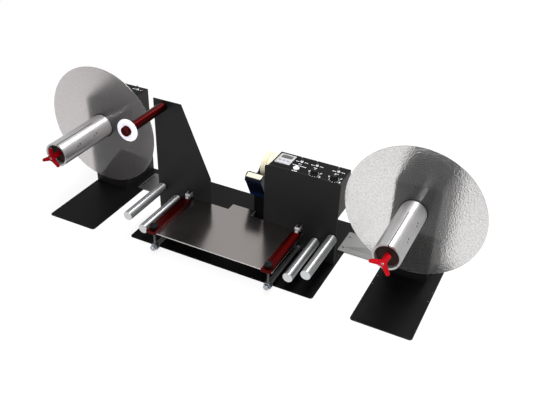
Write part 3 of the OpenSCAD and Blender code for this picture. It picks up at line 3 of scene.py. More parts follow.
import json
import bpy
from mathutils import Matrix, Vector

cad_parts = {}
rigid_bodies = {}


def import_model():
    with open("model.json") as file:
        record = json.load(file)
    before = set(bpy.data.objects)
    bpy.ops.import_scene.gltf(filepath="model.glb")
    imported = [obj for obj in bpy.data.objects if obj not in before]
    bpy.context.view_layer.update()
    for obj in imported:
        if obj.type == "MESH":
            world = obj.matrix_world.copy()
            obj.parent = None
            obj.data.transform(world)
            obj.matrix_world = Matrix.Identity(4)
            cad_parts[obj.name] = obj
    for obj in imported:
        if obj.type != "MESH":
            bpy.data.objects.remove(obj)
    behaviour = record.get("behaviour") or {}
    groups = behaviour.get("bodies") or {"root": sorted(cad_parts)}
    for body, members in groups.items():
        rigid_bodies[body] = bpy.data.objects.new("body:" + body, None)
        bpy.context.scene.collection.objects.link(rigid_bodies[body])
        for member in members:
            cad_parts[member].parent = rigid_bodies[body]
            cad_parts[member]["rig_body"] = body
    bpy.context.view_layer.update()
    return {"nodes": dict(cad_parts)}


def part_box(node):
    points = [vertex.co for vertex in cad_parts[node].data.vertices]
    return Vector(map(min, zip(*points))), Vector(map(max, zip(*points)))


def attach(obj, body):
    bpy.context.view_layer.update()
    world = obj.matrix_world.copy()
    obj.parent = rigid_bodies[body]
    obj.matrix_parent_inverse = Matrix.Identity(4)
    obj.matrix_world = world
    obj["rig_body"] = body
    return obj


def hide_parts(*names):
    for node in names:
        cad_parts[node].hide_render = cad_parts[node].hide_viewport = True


bl_info = {
    "name": "Label splicer studio",
    "version": (1, 0, 0),
    "blender": (4, 5, 0),
    "location": "View3D > Sidebar > Splicer",
    "description": "Finishes, fittings and studio for a bench label splicer",
    "category": "Object",
}

from functools import cache
from math import cos, pi, radians, sin, sqrt

import bmesh
import bpy
from bpy.props import FloatProperty, FloatVectorProperty, IntProperty, PointerProperty
from mathutils import Matrix, Vector

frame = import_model()

MM = 0.001
WELD = 2e-6
SIDES = ("left", "right")
ROLLERS = ("left_outer_roller", "left_inner_roller", "right_inner_roller", "right_outer_roller")
PANEL_TOGGLES = ("left_toggle", "middle_toggle", "right_toggle")
ROOT = "frame"


def colour(name, words, value):
    return FloatVectorProperty(
        name=name, description=words, subtype="COLOR", size=3, default=value, min=0.0, max=1.0
    )


def length(name, words, value):
    return FloatProperty(name=name, description=words, default=value, min=0.0, unit="LENGTH")


class SplicerFinishes(bpy.types.PropertyGroup):
    """Colours of the splicer's finishes."""

    paint: colour("Black paint", "Powder coat on plates, towers and boxes",
                  (0.0040, 0.0038, 0.0042))
    red_metal: colour("Dark red metal", "Anodised clamp bars and guide roller",
                      (0.048, 0.0013, 0.0013))
    red_plastic: colour("Knob red", "Star knobs of the reel spindles", (0.31, 0.002, 0.006))
    roller: colour("Roller metal", "Turned aluminium of the rollers", (0.33, 0.335, 0.34))
    tube: colour("Tube metal", "Drawn aluminium of the core tubes", (0.46, 0.455, 0.46))
    table: colour("Table steel", "Satin sheet of the splicing table", (0.275, 0.252, 0.241))
    link: colour("Link plate steel", "Satin sheet of the link plates", (0.155, 0.155, 0.152))
    # Both discs are one clear sheet: the left tint is darker, painted shade, and the right tint is
    # lighter, painted light
    left_disc: colour("Left disc sheet", "Frosted clear sheet of the left disc",
                      (0.56, 0.525, 0.525))
    right_disc: colour("Right disc sheet", "Frosted clear sheet of the right disc",
                       (0.77, 0.757, 0.75))
    tape: colour("Tape", "Cream paper tape", (0.64, 0.585, 0.43))
    dispenser: colour("Dispenser", "Dark blue plastic", (0.002, 0.003, 0.010))
    white: colour("White plastic", "Guide flange and push button", (0.62, 0.61, 0.68))
    bezel: colour("Counter front", "Pale front of the counter", (0.34, 0.34, 0.335))


class SplicerShapes(bpy.types.PropertyGroup):
    """Sizes that the dressing adds to the frame."""

    edge: length("Edge round", "Rounding of sheet metal edges", 0.7 * MM)
    knob_root: length("Knob arm root", "Width of a star knob's arm at the hub", 15.0 * MM)
    knob_tip: length("Knob arm tip", "Width of a star knob's arm at its end", 10.0 * MM)
    knob_reach: length("Knob reach", "Radius of a star knob's arms", 35.0 * MM)
    knob_fillet: length("Knob fillet", "Softness between a star knob's arms", 4.0 * MM)
    knob_flutes: IntProperty(name="Knob flutes", description="Flutes of a clamp knob",
                             default=16, min=6, max=40)
    dial_ribs: IntProperty(name="Dial ribs", description="Ribs round a dial",
                           default=28, min=8, max=60)


def finishes():
    return bpy.context.scene.splicer_finishes


def shapes():
    return bpy.context.scene.splicer_shapes


# Node trees

def feed(tree, target, inputs):
    """Sets a node's inputs, each to a value, an output, or a node's first output."""
    for key, value in inputs.items():
        socket = target.inputs[key]
        if isinstance(value, bpy.types.Node):
            value = value.outputs[0]
        if isinstance(value, bpy.types.NodeSocket):
            tree.links.new(value, socket)
        elif socket.type == "RGBA":
            socket.default_value = (*value, 1.0)
        else:
            socket.default_value = value


def add(tree, kind, inputs=None, **settings):
    """A new node with its settings and inputs."""
    made = tree.nodes.new(kind)
    for key, value in settings.items():
        setattr(made, key, value)
    feed(tree, made, inputs or {})
    return made


def new_tree(kind, name, inputs, outputs):
    """A node group with named inputs and outputs, and the nodes of both."""
    tree = bpy.data.node_groups.new(name, kind)
    for label, sort, value in inputs:
        socket = tree.interface.new_socket(label, in_out="INPUT", socket_type="NodeSocket" + sort)
        if value is not None:
            socket.default_value = value
    for label, sort in outputs:
        tree.interface.new_socket(label, in_out="OUTPUT", socket_type="NodeSocket" + sort)
    return tree, add(tree, "NodeGroupInput"), add(tree, "NodeGroupOutput")


@cache
def grain_group():
    """Fine speckle, slow clouds and a height from two noises."""
    tree, into, out = new_tree(
        "ShaderNodeTree", "Grain",
        [("Fine", "Float", 900.0), ("Slow", "Float", 9.0), ("Stretch", "Vector", (1.0, 1.0, 1.0))],
        [("Speckle", "Float"), ("Clouds", "Float"), ("Height", "Float")])
    place = add(tree, "ShaderNodeTexCoord").outputs["Object"]
    scaled = add(tree, "ShaderNodeVectorMath", {0: place, 1: into.outputs["Stretch"]},
                 operation="MULTIPLY")
    fine = add(tree, "ShaderNodeTexNoise",
               {"Vector": scaled, "Scale": into.outputs["Fine"], "Detail": 3.0})
    slow = add(tree, "ShaderNodeTexNoise",
               {"Vector": place, "Scale": into.outputs["Slow"], "Detail": 4.0, "Roughness": 0.6})
    feed(tree, out, {"Speckle": fine, "Clouds": slow, "Height": fine})
    return tree


@cache
def pebble_group():
    """Rounded cells of a cast sheet's pebbled face."""
    tree, into, out = new_tree(
        "ShaderNodeTree", "Pebble", [("Cells", "Float", 250.0), ("Slow", "Float", 6.0)],
        [("Cell", "Float"), ("Clouds", "Float"), ("Height", "Float")])
    place = add(tree, "ShaderNodeTexCoord").outputs["Object"]
    wobble = add(tree, "ShaderNodeTexNoise", {"Vector": place, "Scale": 220.0})
    shift = add(tree, "ShaderNodeVectorMath",
                {0: wobble.outputs["Color"], 1: (3 * MM, 3 * MM, 3 * MM), 2: place},
                operation="MULTIPLY_ADD")
    cells = add(tree, "ShaderNodeTexVoronoi", {"Vector": shift, "Scale": into.outputs["Cells"]},
                feature="SMOOTH_F1")
    slow = add(tree, "ShaderNodeTexNoise", {"Vector": place, "Scale": into.outputs["Slow"]})
    feed(tree, out, {"Cell": cells, "Clouds": slow, "Height": cells})
    return tree


# Finishes

def shade(value, factor):
    return tuple(min(1.0, v * factor) for v in value)


def new_material(name):
    mat = bpy.data.materials.new(name)
    mat.use_nodes = True
    return mat, mat.node_tree, mat.node_tree.nodes["Principled BSDF"]


def blend(tree, share, a, b):
    """A colour between two, by a share that changes over the surface."""
    mix = add(tree, "ShaderNodeMix", {"Factor": share, "A": a, "B": b}, data_type="RGBA")
    return mix.outputs["Result"]


def any_ray(tree, *kinds):
    """One for a ray of any of these kinds, and nought for the others."""
    rays = add(tree, "ShaderNodeLightPath")
    found = rays.outputs[kinds[0]]
    for kind in kinds[1:]:
        found = add(tree, "ShaderNodeMath", {0: found, 1: rays.outputs[kind]},
                    operation="MAXIMUM").outputs[0]
    return found


def finish(name, base, rough, metallic=0.0, fine=900.0, slow=9.0, stretch=(1, 1, 1),
           vary=0.12, rough_vary=0.08, bump=0.1, depth=0.05 * MM, specular=0.5, turning=0.0):
    """A finish whose colour, roughness and relief change over the surface.

    Turning draws highlights out along Y, as the fine grooves of a lathe do."""
    mat, tree, bsdf = new_material(name)
    grain = add(tree, "ShaderNodeGroup", {"Fine": fine, "Slow": slow, "Stretch": stretch},
                node_tree=grain_group())
    both = add(tree, "ShaderNodeMath",
               {0: grain.outputs["Speckle"], 1: grain.outputs["Clouds"]}, operation="ADD")
    tone = add(tree, "ShaderNodeMapRange", {"Value": both, "From Min": 0.7, "From Max": 1.3})
    gloss = add(tree, "ShaderNodeMapRange", {
        "Value": grain.outputs["Clouds"], "From Min": 0.3, "From Max": 0.7,
        "To Min": max(0.02, rough - rough_vary), "To Max": rough + rough_vary})
    relief = add(tree, "ShaderNodeBump",
                 {"Strength": bump, "Distance": depth, "Height": grain.outputs["Height"]})
    feed(tree, bsdf, {
        "Base Color": blend(tree, tone, shade(base, 1.0 - vary), shade(base, 1.0 + vary)),
        "Roughness": gloss, "Normal": relief, "Metallic": metallic,
        "Specular IOR Level": specular})
    if turning:
        grooves = add(tree, "ShaderNodeTangent", direction_type="RADIAL", axis="Y")
        feed(tree, bsdf, {
            "Tangent": grooves, "Anisotropic": turning, "Anisotropic Rotation": 0.25})
    return mat


def dispenser_finish(name, upper):
    """Moulded plastic whose colour softly turns bluer near its foot."""
    lower = (0.004, 0.016, 0.06)
    height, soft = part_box("tape_dispenser")[0].z + 17 * MM, 4 * MM
    mat = finish(name, upper, 0.32, vary=0.15, bump=0.04, specular=0.1)
    tree = mat.node_tree
    bsdf = tree.nodes["Principled BSDF"]
    parts = add(tree, "ShaderNodeSeparateXYZ",
                {0: add(tree, "ShaderNodeTexCoord").outputs["Object"]})
    share = add(tree, "ShaderNodeMapRange", {
        "Value": parts.outputs["Z"], "From Min": height - soft, "From Max": height + soft})
    above = bsdf.inputs["Base Color"].links[0].from_socket
    feed(tree, bsdf, {"Base Color": blend(tree, share, lower, above)})
    return mat


def disc_finish(name, tint, rough, relief_depth):
    """Frosted clear sheet with a pebbled face, plainly clear to shadow and diffuse rays."""
    mat, tree, bsdf = new_material(name)
    pebble = add(tree, "ShaderNodeGroup", node_tree=pebble_group())
    cell = add(tree, "ShaderNodeMapRange",
               {"Value": pebble.outputs["Cell"], "From Min": 0.15, "From Max": 0.6})
    relief = add(tree, "ShaderNodeBump", {
        "Strength": 1.0, "Distance": relief_depth, "Height": pebble.outputs["Height"]})
    gloss = add(tree, "ShaderNodeMapRange", {
        "Value": pebble.outputs["Clouds"], "To Min": rough - 0.03, "To Max": rough + 0.03})
    feed(tree, bsdf, {
        "Base Color": blend(tree, cell, shade(tint, 1.10), shade(tint, 0.86)),
        "Roughness": gloss, "Normal": relief, "Transmission Weight": 1.0, "IOR": 1.3,
        "Coat Weight": 0.7, "Coat Roughness": 0.03, "Coat IOR": 1.5})
    clear = add(tree, "ShaderNodeBsdfTransparent", {"Color": (0.62, 0.61, 0.61)})
    either = add(tree, "ShaderNodeMixShader", {
        "Fac": any_ray(tree, "Is Shadow Ray", "Is Diffuse Ray"), 1: bsdf, 2: clear})
    feed(tree, tree.nodes["Material Output"], {"Surface": either})
    return mat


# The material's name, its colour, roughness and metallic, then what differs from the usual.
# A colour is plain, or a share of one of the splicer's own.
RECIPES = {
    "paint": ("black_powder_coat", ("paint", 1.0), 0.46, 0.0,
              dict(fine=1400, vary=0.15, rough_vary=0.04, bump=0.2, specular=0.20)),
    # A darker copy of the same powder coat: painted shade on the base plates and on the housings'
    # top faces
    "plate_paint": ("black_plate_coat", ("paint", 0.55), 0.5, 0.0,
                    dict(fine=1400, vary=0.15, rough_vary=0.04, bump=0.2, specular=0.06)),
    "guide_red": ("guide_red_anodised", ("red_metal", 0.85), 0.36, 1.0,
                  dict(fine=600, stretch=(1, 0.05, 1), bump=0.01, depth=0.01 * MM, turning=0.6)),
    "red_metal": ("dark_red_anodised", ("red_metal", 1.4), 0.36, 1.0,
                  dict(fine=600, stretch=(1, 0.05, 1), bump=0.03)),
    # The left knob is the same red at half strength: painted shade over that knob
    "left_knob": ("red_moulded_shaded", ("red_plastic", 0.5), 0.38, 0.0,
                  dict(fine=500, vary=0.05, bump=0.03, specular=0.01)),
    "right_knob": ("red_moulded", ("red_plastic", 1.0), 0.38, 0.0,
                   dict(fine=500, vary=0.05, bump=0.03, specular=0.03)),
    "roller": ("turned_aluminium", ("roller", 1.0), 0.42, 1.0,
               dict(fine=110, stretch=(0.1, 9.0, 0.1), vary=0.03, rough_vary=0.02, bump=0.01,
                    depth=0.004 * MM, turning=0.9)),
    # The roller metal made lighter for the faced front ends: painted light on those faces
    "roller_end": ("faced_aluminium", ("roller", 1.7), 0.4, 0.9,
                   dict(fine=400, vary=0.05, rough_vary=0.03, bump=0.02, depth=0.01 * MM)),
    "tube": ("drawn_aluminium", ("tube", 1.0), 0.36, 1.0,
             dict(fine=420, slow=14, stretch=(1.0, 0.02, 1.0), rough_vary=0.01, bump=0.01,
                  depth=0.002 * MM, turning=0.7)),
    "table": ("satin_table_steel", ("table", 1.0), 0.19, 1.0,
              dict(fine=500, stretch=(0.06, 1.5, 1.0), vary=0.03, rough_vary=0.02, bump=0.02,
                   depth=0.02 * MM)),
    "link": ("satin_link_steel", ("link", 1.0), 0.42, 1.0,
             dict(fine=500, stretch=(0.1, 1.5, 1.0), vary=0.06, bump=0.03)),
    "zinc": ("zinc_plated", (0.40, 0.425, 0.46), 0.25, 1.0, dict(fine=800, vary=0.08, bump=0.06)),
    "dark_zinc": ("black_zinc", (0.045, 0.045, 0.048), 0.4, 0.7,
                  dict(fine=800, vary=0.1, bump=0.04)),
    "chrome": ("polished_chrome", (0.36, 0.38, 0.39), 0.12, 1.0,
               dict(fine=300, vary=0.03, rough_vary=0.03, bump=0.01)),
    "rod": ("grey_rod_steel", (0.10, 0.10, 0.104), 0.4, 0.6,
            dict(fine=700, stretch=(1, 0.1, 1), bump=0.03)),
    "ground": ("ground_steel", (0.25, 0.255, 0.265), 0.28, 1.0,
               dict(fine=800, stretch=(0.2, 1.5, 0.2), bump=0.03)),
    "bronze": ("bronze_bush", (0.50, 0.33, 0.14), 0.35, 1.0, dict(fine=600, bump=0.05)),
    "black": ("black_moulded", (0.003, 0.003, 0.0035), 0.38, 0.0,
              dict(vary=0.2, bump=0.04, specular=0.09)),
    # Lighter steel for the table's front edge faces: a painted highlight along that edge
    "sheet_edge": ("bright_sheet_edge", (0.40, 0.39, 0.385), 0.45, 0.6,
                   dict(fine=600, vary=0.08, bump=0.03)),
    "hinge": ("dull_zinc_hinge", (0.34, 0.34, 0.345), 0.35, 0.85, dict(fine=600, bump=0.06)),
    "bezel": ("counter_front", ("bezel", 1.0), 0.4, 0.0, dict(vary=0.03, bump=0.03)),
    "keys": ("counter_keys", ("bezel", 0.7), 0.4, 0.0, dict(vary=0.04, bump=0.03)),
    "pad": ("counter_pad", (0.40, 0.405, 0.46), 0.4, 0.0, dict(vary=0.03, bump=0.03)),
    "nut": ("bright_nut", (0.78, 0.79, 0.80), 0.3, 0.3, dict(fine=600, vary=0.05, bump=0.02)),
    "lever": ("grey_lever", (0.20, 0.20, 0.205), 0.3, 0.9,
              dict(fine=500, vary=0.05, bump=0.02)),
    "white": ("white_moulded", ("white", 1.0), 0.4, 0.0, dict(fine=500, vary=0.02, bump=0.02)),
    "tape": ("paper_tape", ("tape", 1.0), 0.6, 0.0, dict(vary=0.04, specular=0.2)),
    "tape_side": ("wound_paper", ("tape", 0.92), 0.7, 0.0,
                  dict(fine=2500, bump=0.2, specular=0.2)),
    "seam": ("paper_seam", (0.36, 0.25, 0.15), 0.8, 0.0, dict(vary=0.1, specular=0.1)),
    "card": ("card_core", (0.30, 0.20, 0.11), 0.8, 0.0, dict(fine=700)),
    "rubber": ("black_rubber", (0.006, 0.006, 0.006), 0.8, 0.0, dict(fine=700, specular=0.2)),
    "screen": ("display_window", (0.035, 0.035, 0.037), 0.25, 0.0,
               dict(fine=300, vary=0.04, rough_vary=0.02, bump=0.01)),
    "mark": ("printed_mark", (0.86, 0.86, 0.88), 0.6, 0.0, dict(vary=0.03, bump=0.02)),
    "ink": ("display_figures", (0.085, 0.087, 0.09), 0.5, 0.0, dict(vary=0.03, bump=0.02)),
    # Near-black finish for holes and screw recesses: painted shade
    "socket": ("screw_recess", (0.012, 0.012, 0.013), 0.6, 0.0, dict(vary=0.1, bump=0.02)),
    "bore": ("dark_bore", (0.016, 0.007, 0.006), 0.5, 0.0,
             dict(vary=0.2, bump=0.02, specular=0.08)),
    "lamp": ("dark_red_lens", (0.06, 0.006, 0.006), 0.15, 0.0,
             dict(fine=400, vary=0.05, bump=0.01)),
    "motor": ("motor_enamel", (0.07, 0.075, 0.08), 0.45, 0.0,
              dict(fine=500, vary=0.15, bump=0.12)),
    "board": ("board_lacquer", (0.02, 0.12, 0.05), 0.35, 0.0,
              dict(fine=500, vary=0.3, bump=0.08)),
}
# A disc's material, its roughness and the depth of its pebbles
DISC_RECIPES = {
    # The two discs' tints differ only as painted shade on the left and painted light on the right
    "left_disc": ("left_frosted_sheet", 0.38, 0.5 * MM),
    "right_disc": ("right_frosted_sheet", 0.25, 1.05 * MM),
}


@cache
def material(name):
    """The finish of that name, made when it is first asked for."""
    if name == "dispenser":
        return dispenser_finish("dark_blue_moulded", finishes().dispenser)
    if name in DISC_RECIPES:
        label, rough, relief_depth = DISC_RECIPES[name]
        return disc_finish(label, getattr(finishes(), name), rough, relief_depth)
    label, base, rough, metallic, more = RECIPES[name]
    if isinstance(base[0], str):
        base = shade(getattr(finishes(), base[0]), base[1])
    return finish(label, base, rough, metallic, **more)


# Making pieces

def place_object(name, mesh, body):
    """A mesh as an object at the origin that rides on a body."""
    obj = bpy.data.objects.new(name, mesh)
    bpy.context.scene.collection.objects.link(obj)
    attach(obj, body)
    return obj


def piece(name, bm, body, nodes=(), mats=(), sharp=35.0):
    """A finished piece from a bmesh."""
    mesh = bpy.data.meshes.new(name)
    bm.normal_update()
    bm.to_mesh(mesh)
    bm.free()
    for mat in mats:
        mesh.materials.append(material(mat))
    mesh.shade_smooth()
    mesh.set_sharp_from_angle(angle=radians(sharp))
    obj = place_object(name, mesh, body)
    if nodes:
        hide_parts(*nodes)
    return obj


def stand_in(node, ending, bm, mats, sharp=35.0):
    """A piece that stands for one node."""
    return piece(node + ending, bm, body_of(node), (node,), mats, sharp)


def body_of(node):
    return frame["nodes"][node]["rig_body"]


def middle(node):
    low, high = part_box(node)
    return (low + high) / 2


def half_width(node):
    low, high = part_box(node)
    return (high.x - low.x) / 2


def on_axis(node, axis):
    """The middle of a node's box, brought to nought along an axis."""
    centre = middle(node)
    centre["XYZ".index(axis)] = 0.0
    return centre


def paint_nodes(choices):
    """Gives carried-over nodes their finishes."""
    for node, mats in choices.items():
        data = frame["nodes"][node].data
        data.materials.clear()
        for mat in mats.split():
            data.materials.append(material(mat))


def split_faces(mesh, test):
    """Gives the faces that pass a test the mesh's second finish."""
    for face in mesh.polygons:
        face.material_index = 1 if test(face) else 0


def dressed(node, mat, width, shortest=3.0 * MM, extra=()):
    """A copy of a node with its long edges rounded, which stands for the node."""
    bm = bmesh.new()
    bm.from_mesh(frame["nodes"][node].data)
    bmesh.ops.remove_doubles(bm, verts=bm.verts, dist=WELD)
    bmesh.ops.dissolve_limit(bm, angle_limit=radians(0.5), verts=bm.verts, edges=bm.edges)
    for face in bm.faces:
        face.material_index = 0
    edges = [e for e in bm.edges
             if len(e.link_faces) == 2 and e.calc_length() > shortest
             and e.calc_face_angle(0.0) > radians(35)]
    bmesh.ops.bevel(bm, geom=edges, offset=width, segments=2, profile=0.5,
                    affect="EDGES", clamp_overlap=True, harden_normals=False)
    return stand_in(node, "_dressed", bm, (mat, *extra), 22.0)


AXES = {
    "X": (Vector((1, 0, 0)), Vector((0, 1, 0)), Vector((0, 0, 1))),
    "Y": (Vector((0, 1, 0)), Vector((0, 0, 1)), Vector((1, 0, 0))),
    "Z": (Vector((0, 0, 1)), Vector((1, 0, 0)), Vector((0, 1, 0))),
}


def turned(bm, profile, centre, axis, steps=72, mats=None, wave=None, closed=False):
    """A turned form: profile holds (place along the axis, radius) pairs.

    Wave gives what a turn and a row add to the radius, and closed joins the last row
    to the first."""
    along, side, up = AXES[axis]
    rings = []
    for index, (place, radius) in enumerate(profile):
        if radius <= 1e-7:
            rings.append([bm.verts.new(centre + along * place)])
            continue
        ring = []
        for k in range(steps):
            turn = 2 * pi * k / steps
            reach = radius + (wave(turn, index) if wave else 0.0)
            ring.append(bm.verts.new(
                centre + along * place + (side * cos(turn) + up * sin(turn)) * reach))
        rings.append(ring)
    pairs = list(zip(rings, rings[1:] + rings[:1] if closed else rings[1:]))
    faces = []
    for index, (a, b) in enumerate(pairs):
        for k in range(steps):
            n = (k + 1) % steps
            corners = [a[k % len(a)], a[n % len(a)], b[n % len(b)], b[k % len(b)]]
            corners = list(dict.fromkeys(corners))
            if len(corners) < 3:
                continue
            face = bm.faces.new(corners)
            face.material_index = mats[index] if mats else 0
            faces.append(face)
    bmesh.ops.recalc_face_normals(bm, faces=faces)


def lathe(node, ending, profile, axis, steps, choices, sharp=35.0, **more):
    """A turned piece that stands for a node, round the middle of its box."""
    bm = bmesh.new()
    turned(bm, profile, on_axis(node, axis), axis, steps, **more)
    return stand_in(node, ending, bm, choices, sharp)


def boxed(bm, low, high, mat=0, width=0.0):
    """A box with rounded edges."""
    made = bmesh.ops.create_cube(bm, size=1.0)["verts"]
    low, high = Vector(low), Vector(high)
    for vert in made:
        vert.co = vert.co * (high - low) + (low + high) / 2
    faces = {f for v in made for f in v.link_faces}
    if width:
        edges = {e for v in made for e in v.link_edges}
        for face in faces:
            face.material_index = mat
        faces = bmesh.ops.bevel(bm, geom=list(edges), offset=width, segments=2, profile=0.5,
                                affect="EDGES")["faces"]
    for face in faces:
        face.material_index = mat


# Node trees that repeat small fittings

def repeat_tree(name, inputs):
    """A tree with the points as geometry, named numbers and a finish as inputs."""
    return new_tree("GeometryNodeTree", name,
                    [("Geometry", "Geometry", None), *inputs, ("Finish", "Material", None)],
                    [("Geometry", "Geometry")])


def finish_tree(tree, into, out, shape, turn=None):
    """Sets the shape on each point, as plain geometry with its finish."""
    inputs = {"Points": into.outputs["Geometry"], "Instance": shape}
    if turn:
        inputs["Rotation"] = turn
    real = add(tree, "GeometryNodeRealizeInstances",
               {0: add(tree, "GeometryNodeInstanceOnPoints", inputs)})
    feed(tree, out, {0: add(tree, "GeometryNodeSetMaterial", {
        "Geometry": real, "Material": into.outputs["Finish"]})})
    return tree


@cache
def recess_shade_tree():
    """A dark six-sided plate on each point: painted shade of a screw's recess."""
    tree, into, out = repeat_tree("Screw recesses", [
        ("Radius", "Float", 1.5 * MM), ("Height", "Float", 0.1 * MM), ("Turn", "Rotation", None)])
    plate = add(tree, "GeometryNodeMeshCylinder", {
        "Vertices": 6, "Radius": into.outputs["Radius"], "Depth": into.outputs["Height"]})
    return finish_tree(tree, into, out, plate, into.outputs["Turn"])


@cache
def tick_tree():
    """Short bars round a circle, like the marks round a dial."""
    tree, into, out = repeat_tree("Dial marks", [
        ("Circle", "Float", 15 * MM), ("Count", "Int", 12),
        ("Bar", "Vector", (1.1 * MM, 2.8 * MM, 0.1 * MM))])
    circle = add(tree, "GeometryNodeMeshCircle", {
        "Vertices": into.outputs["Count"], "Radius": into.outputs["Circle"]})
    bar = add(tree, "GeometryNodeMeshCube", {"Size": into.outputs["Bar"]})
    share = add(tree, "ShaderNodeMath",
                {0: add(tree, "GeometryNodeInputIndex"), 1: into.outputs["Count"]},
                operation="DIVIDE")
    angle = add(tree, "ShaderNodeMath", {0: share, 1: 2 * pi, 2: pi / 2},
                operation="MULTIPLY_ADD")
    turn = add(tree, "ShaderNodeCombineXYZ", {"Z": angle})
    ring = add(tree, "GeometryNodeInstanceOnPoints", {
        "Points": circle, "Instance": bar, "Rotation": turn})
    return finish_tree(tree, into, out, add(tree, "GeometryNodeRealizeInstances", {0: ring}))


def repeated(name, tree, points, values, body):
    """A plain mesh of fittings spread on points by a node tree."""
    seed = bpy.data.meshes.new(name + "_points")
    seed.from_pydata([tuple(p) for p in points], [], [])
    carrier = bpy.data.objects.new(name + "_points", seed)
    bpy.context.scene.collection.objects.link(carrier)
    mod = carrier.modifiers.new("fittings", "NODES")
    mod.node_group = tree
    for item in tree.interface.items_tree:
        if item.in_out == "INPUT" and item.name in values:
            mod[item.identifier] = values[item.name]
    graph = bpy.context.evaluated_depsgraph_get()
    mesh = bpy.data.meshes.new_from_object(carrier.evaluated_get(graph))
    bpy.data.objects.remove(carrier)
    mesh.name = name
    mesh.set_sharp_from_angle(angle=radians(30))
    return place_object(name, mesh, body)


# Operators

class SplicerOperator:
    """Runs the operator's make, and lets an error stop the script."""

    bl_options = {"REGISTER"}

    def execute(self, context):
        self.make()
        return {"FINISHED"}


VIEW_PLACE = (0.85821, -1.62133, 1.32881)
VIEW_TURN, VIEW_DROP, VIEW_ROLL = radians(26.116), radians(33.294), radians(1.517)
VIEW_LENS, VIEW_SENSOR = 48.01, 36.0
WORLD_LEVEL = 0.42
FLOOR_GLOW = 0.86
FLOOR_REACH = 12.0


class SPLICER_OT_stage(SplicerOperator, bpy.types.Operator):
    """Set the camera, the lamps, the world and the floor."""

    bl_idname = "splicer.stage"
    bl_label = "Stage"

    def make(self):
        scene = bpy.context.scene
        scene.view_settings.view_transform = "Standard"
        self.camera(scene)
        self.lamp(scene, "overhead", (0.65, 0.0, 3.4), (0.65, 0.0, 0.0), (0.8, 8.8), 300.0)
        self.lamp(scene, "front", (1.05, -2.9, 1.9), (0.1, 0.0, 0.25), (0.45, 0.9), 44.0)
        self.world(scene)
        self.floor(scene)

    def camera(self, scene):
        ahead = Vector((-sin(VIEW_TURN) * cos(VIEW_DROP), cos(VIEW_TURN) * cos(VIEW_DROP),
                        -sin(VIEW_DROP)))
        level = Vector((cos(VIEW_TURN), sin(VIEW_TURN), 0.0))
        above = level.cross(ahead)
        right = level * cos(VIEW_ROLL) + above * sin(VIEW_ROLL)
        up = above * cos(VIEW_ROLL) - level * sin(VIEW_ROLL)
        lens = bpy.data.cameras.new("view")
        lens.lens, lens.sensor_width, lens.sensor_fit = VIEW_LENS, VIEW_SENSOR, "HORIZONTAL"
        lens.clip_end = 50.0
        camera = bpy.data.objects.new("view", lens)
        scene.collection.objects.link(camera)
        camera.matrix_world = Matrix((
            *((right[k], up[k], -ahead[k], VIEW_PLACE[k]) for k in range(3)), (0, 0, 0, 1)))
        scene.camera = camera

    def lamp(self, scene, name, place, target, size, power):
        data = bpy.data.lights.new(name, "AREA")
        data.shape, data.energy = "RECTANGLE", power
        data.size, data.size_y = size
        obj = bpy.data.objects.new(name, data)
        scene.collection.objects.link(obj)
        obj.location = place
        direction = Vector(target) - Vector(place)
        obj.rotation_euler = direction.to_track_quat("-Z", "Y").to_euler()

    def world(self, scene):
        """White to the camera and in metal and glass, and plain level light otherwise."""
        world = bpy.data.worlds.new("studio")
        world.use_nodes = True
        tree = world.node_tree
        white = any_ray(tree, "Is Glossy Ray", "Is Transmission Ray", "Is Camera Ray")
        level = add(tree, "ShaderNodeMapRange",
                    {"Value": white, "To Min": WORLD_LEVEL, "To Max": 1.0})
        feed(tree, tree.nodes["Background"], {"Strength": level, "Color": (1, 1, 1)})
        scene.world = world

    def floor(self, scene):
        """A pale floor that keeps the object's shadow under a white glow."""
        bm = bmesh.new()
        bmesh.ops.create_grid(bm, x_segments=1, y_segments=1, size=FLOOR_REACH)
        mesh = bpy.data.meshes.new("floor")
        bm.to_mesh(mesh)
        bm.free()
        mat, tree, bsdf = new_material("pale_floor")
        feed(tree, bsdf, {
            "Base Color": (0.97, 0.97, 0.97), "Roughness": 0.9, "Specular IOR Level": 0.1})
        seen = add(tree, "ShaderNodeMath", {0: any_ray(tree, "Is Camera Ray"), 1: FLOOR_GLOW},
                   operation="MULTIPLY")
        share = add(tree, "ShaderNodeMath",
                    {0: seen, 1: any_ray(tree, "Is Glossy Ray", "Is Transmission Ray")},
                    operation="MAXIMUM")
        glow = add(tree, "ShaderNodeEmission", {"Strength": 1.0})
        mix = add(tree, "ShaderNodeMixShader", {"Fac": share, 1: bsdf, 2: glow})
        feed(tree, tree.nodes["Material Output"], {"Surface": mix})
        mesh.materials.append(mat)
        obj = bpy.data.objects.new("floor", mesh)
        scene.collection.objects.link(obj)


class SPLICER_OT_plates(SplicerOperator, bpy.types.Operator):
    """Dress the base plates, link plates and feet."""

    bl_idname = "splicer.plates"
    bl_label = "Plates"

    def make(self):
        soft = shapes().edge * 0.7
        # The base plates take the darker copy of the coat, painted shade
        dressed("splice_base", "plate_paint", soft, 0.6 * MM)
        dressed("station_bases", "plate_paint", soft, 0.6 * MM)
        dressed("link_plates", "link", soft, 0.25 * MM)
        paint_nodes({"rubber_feet": "rubber"})


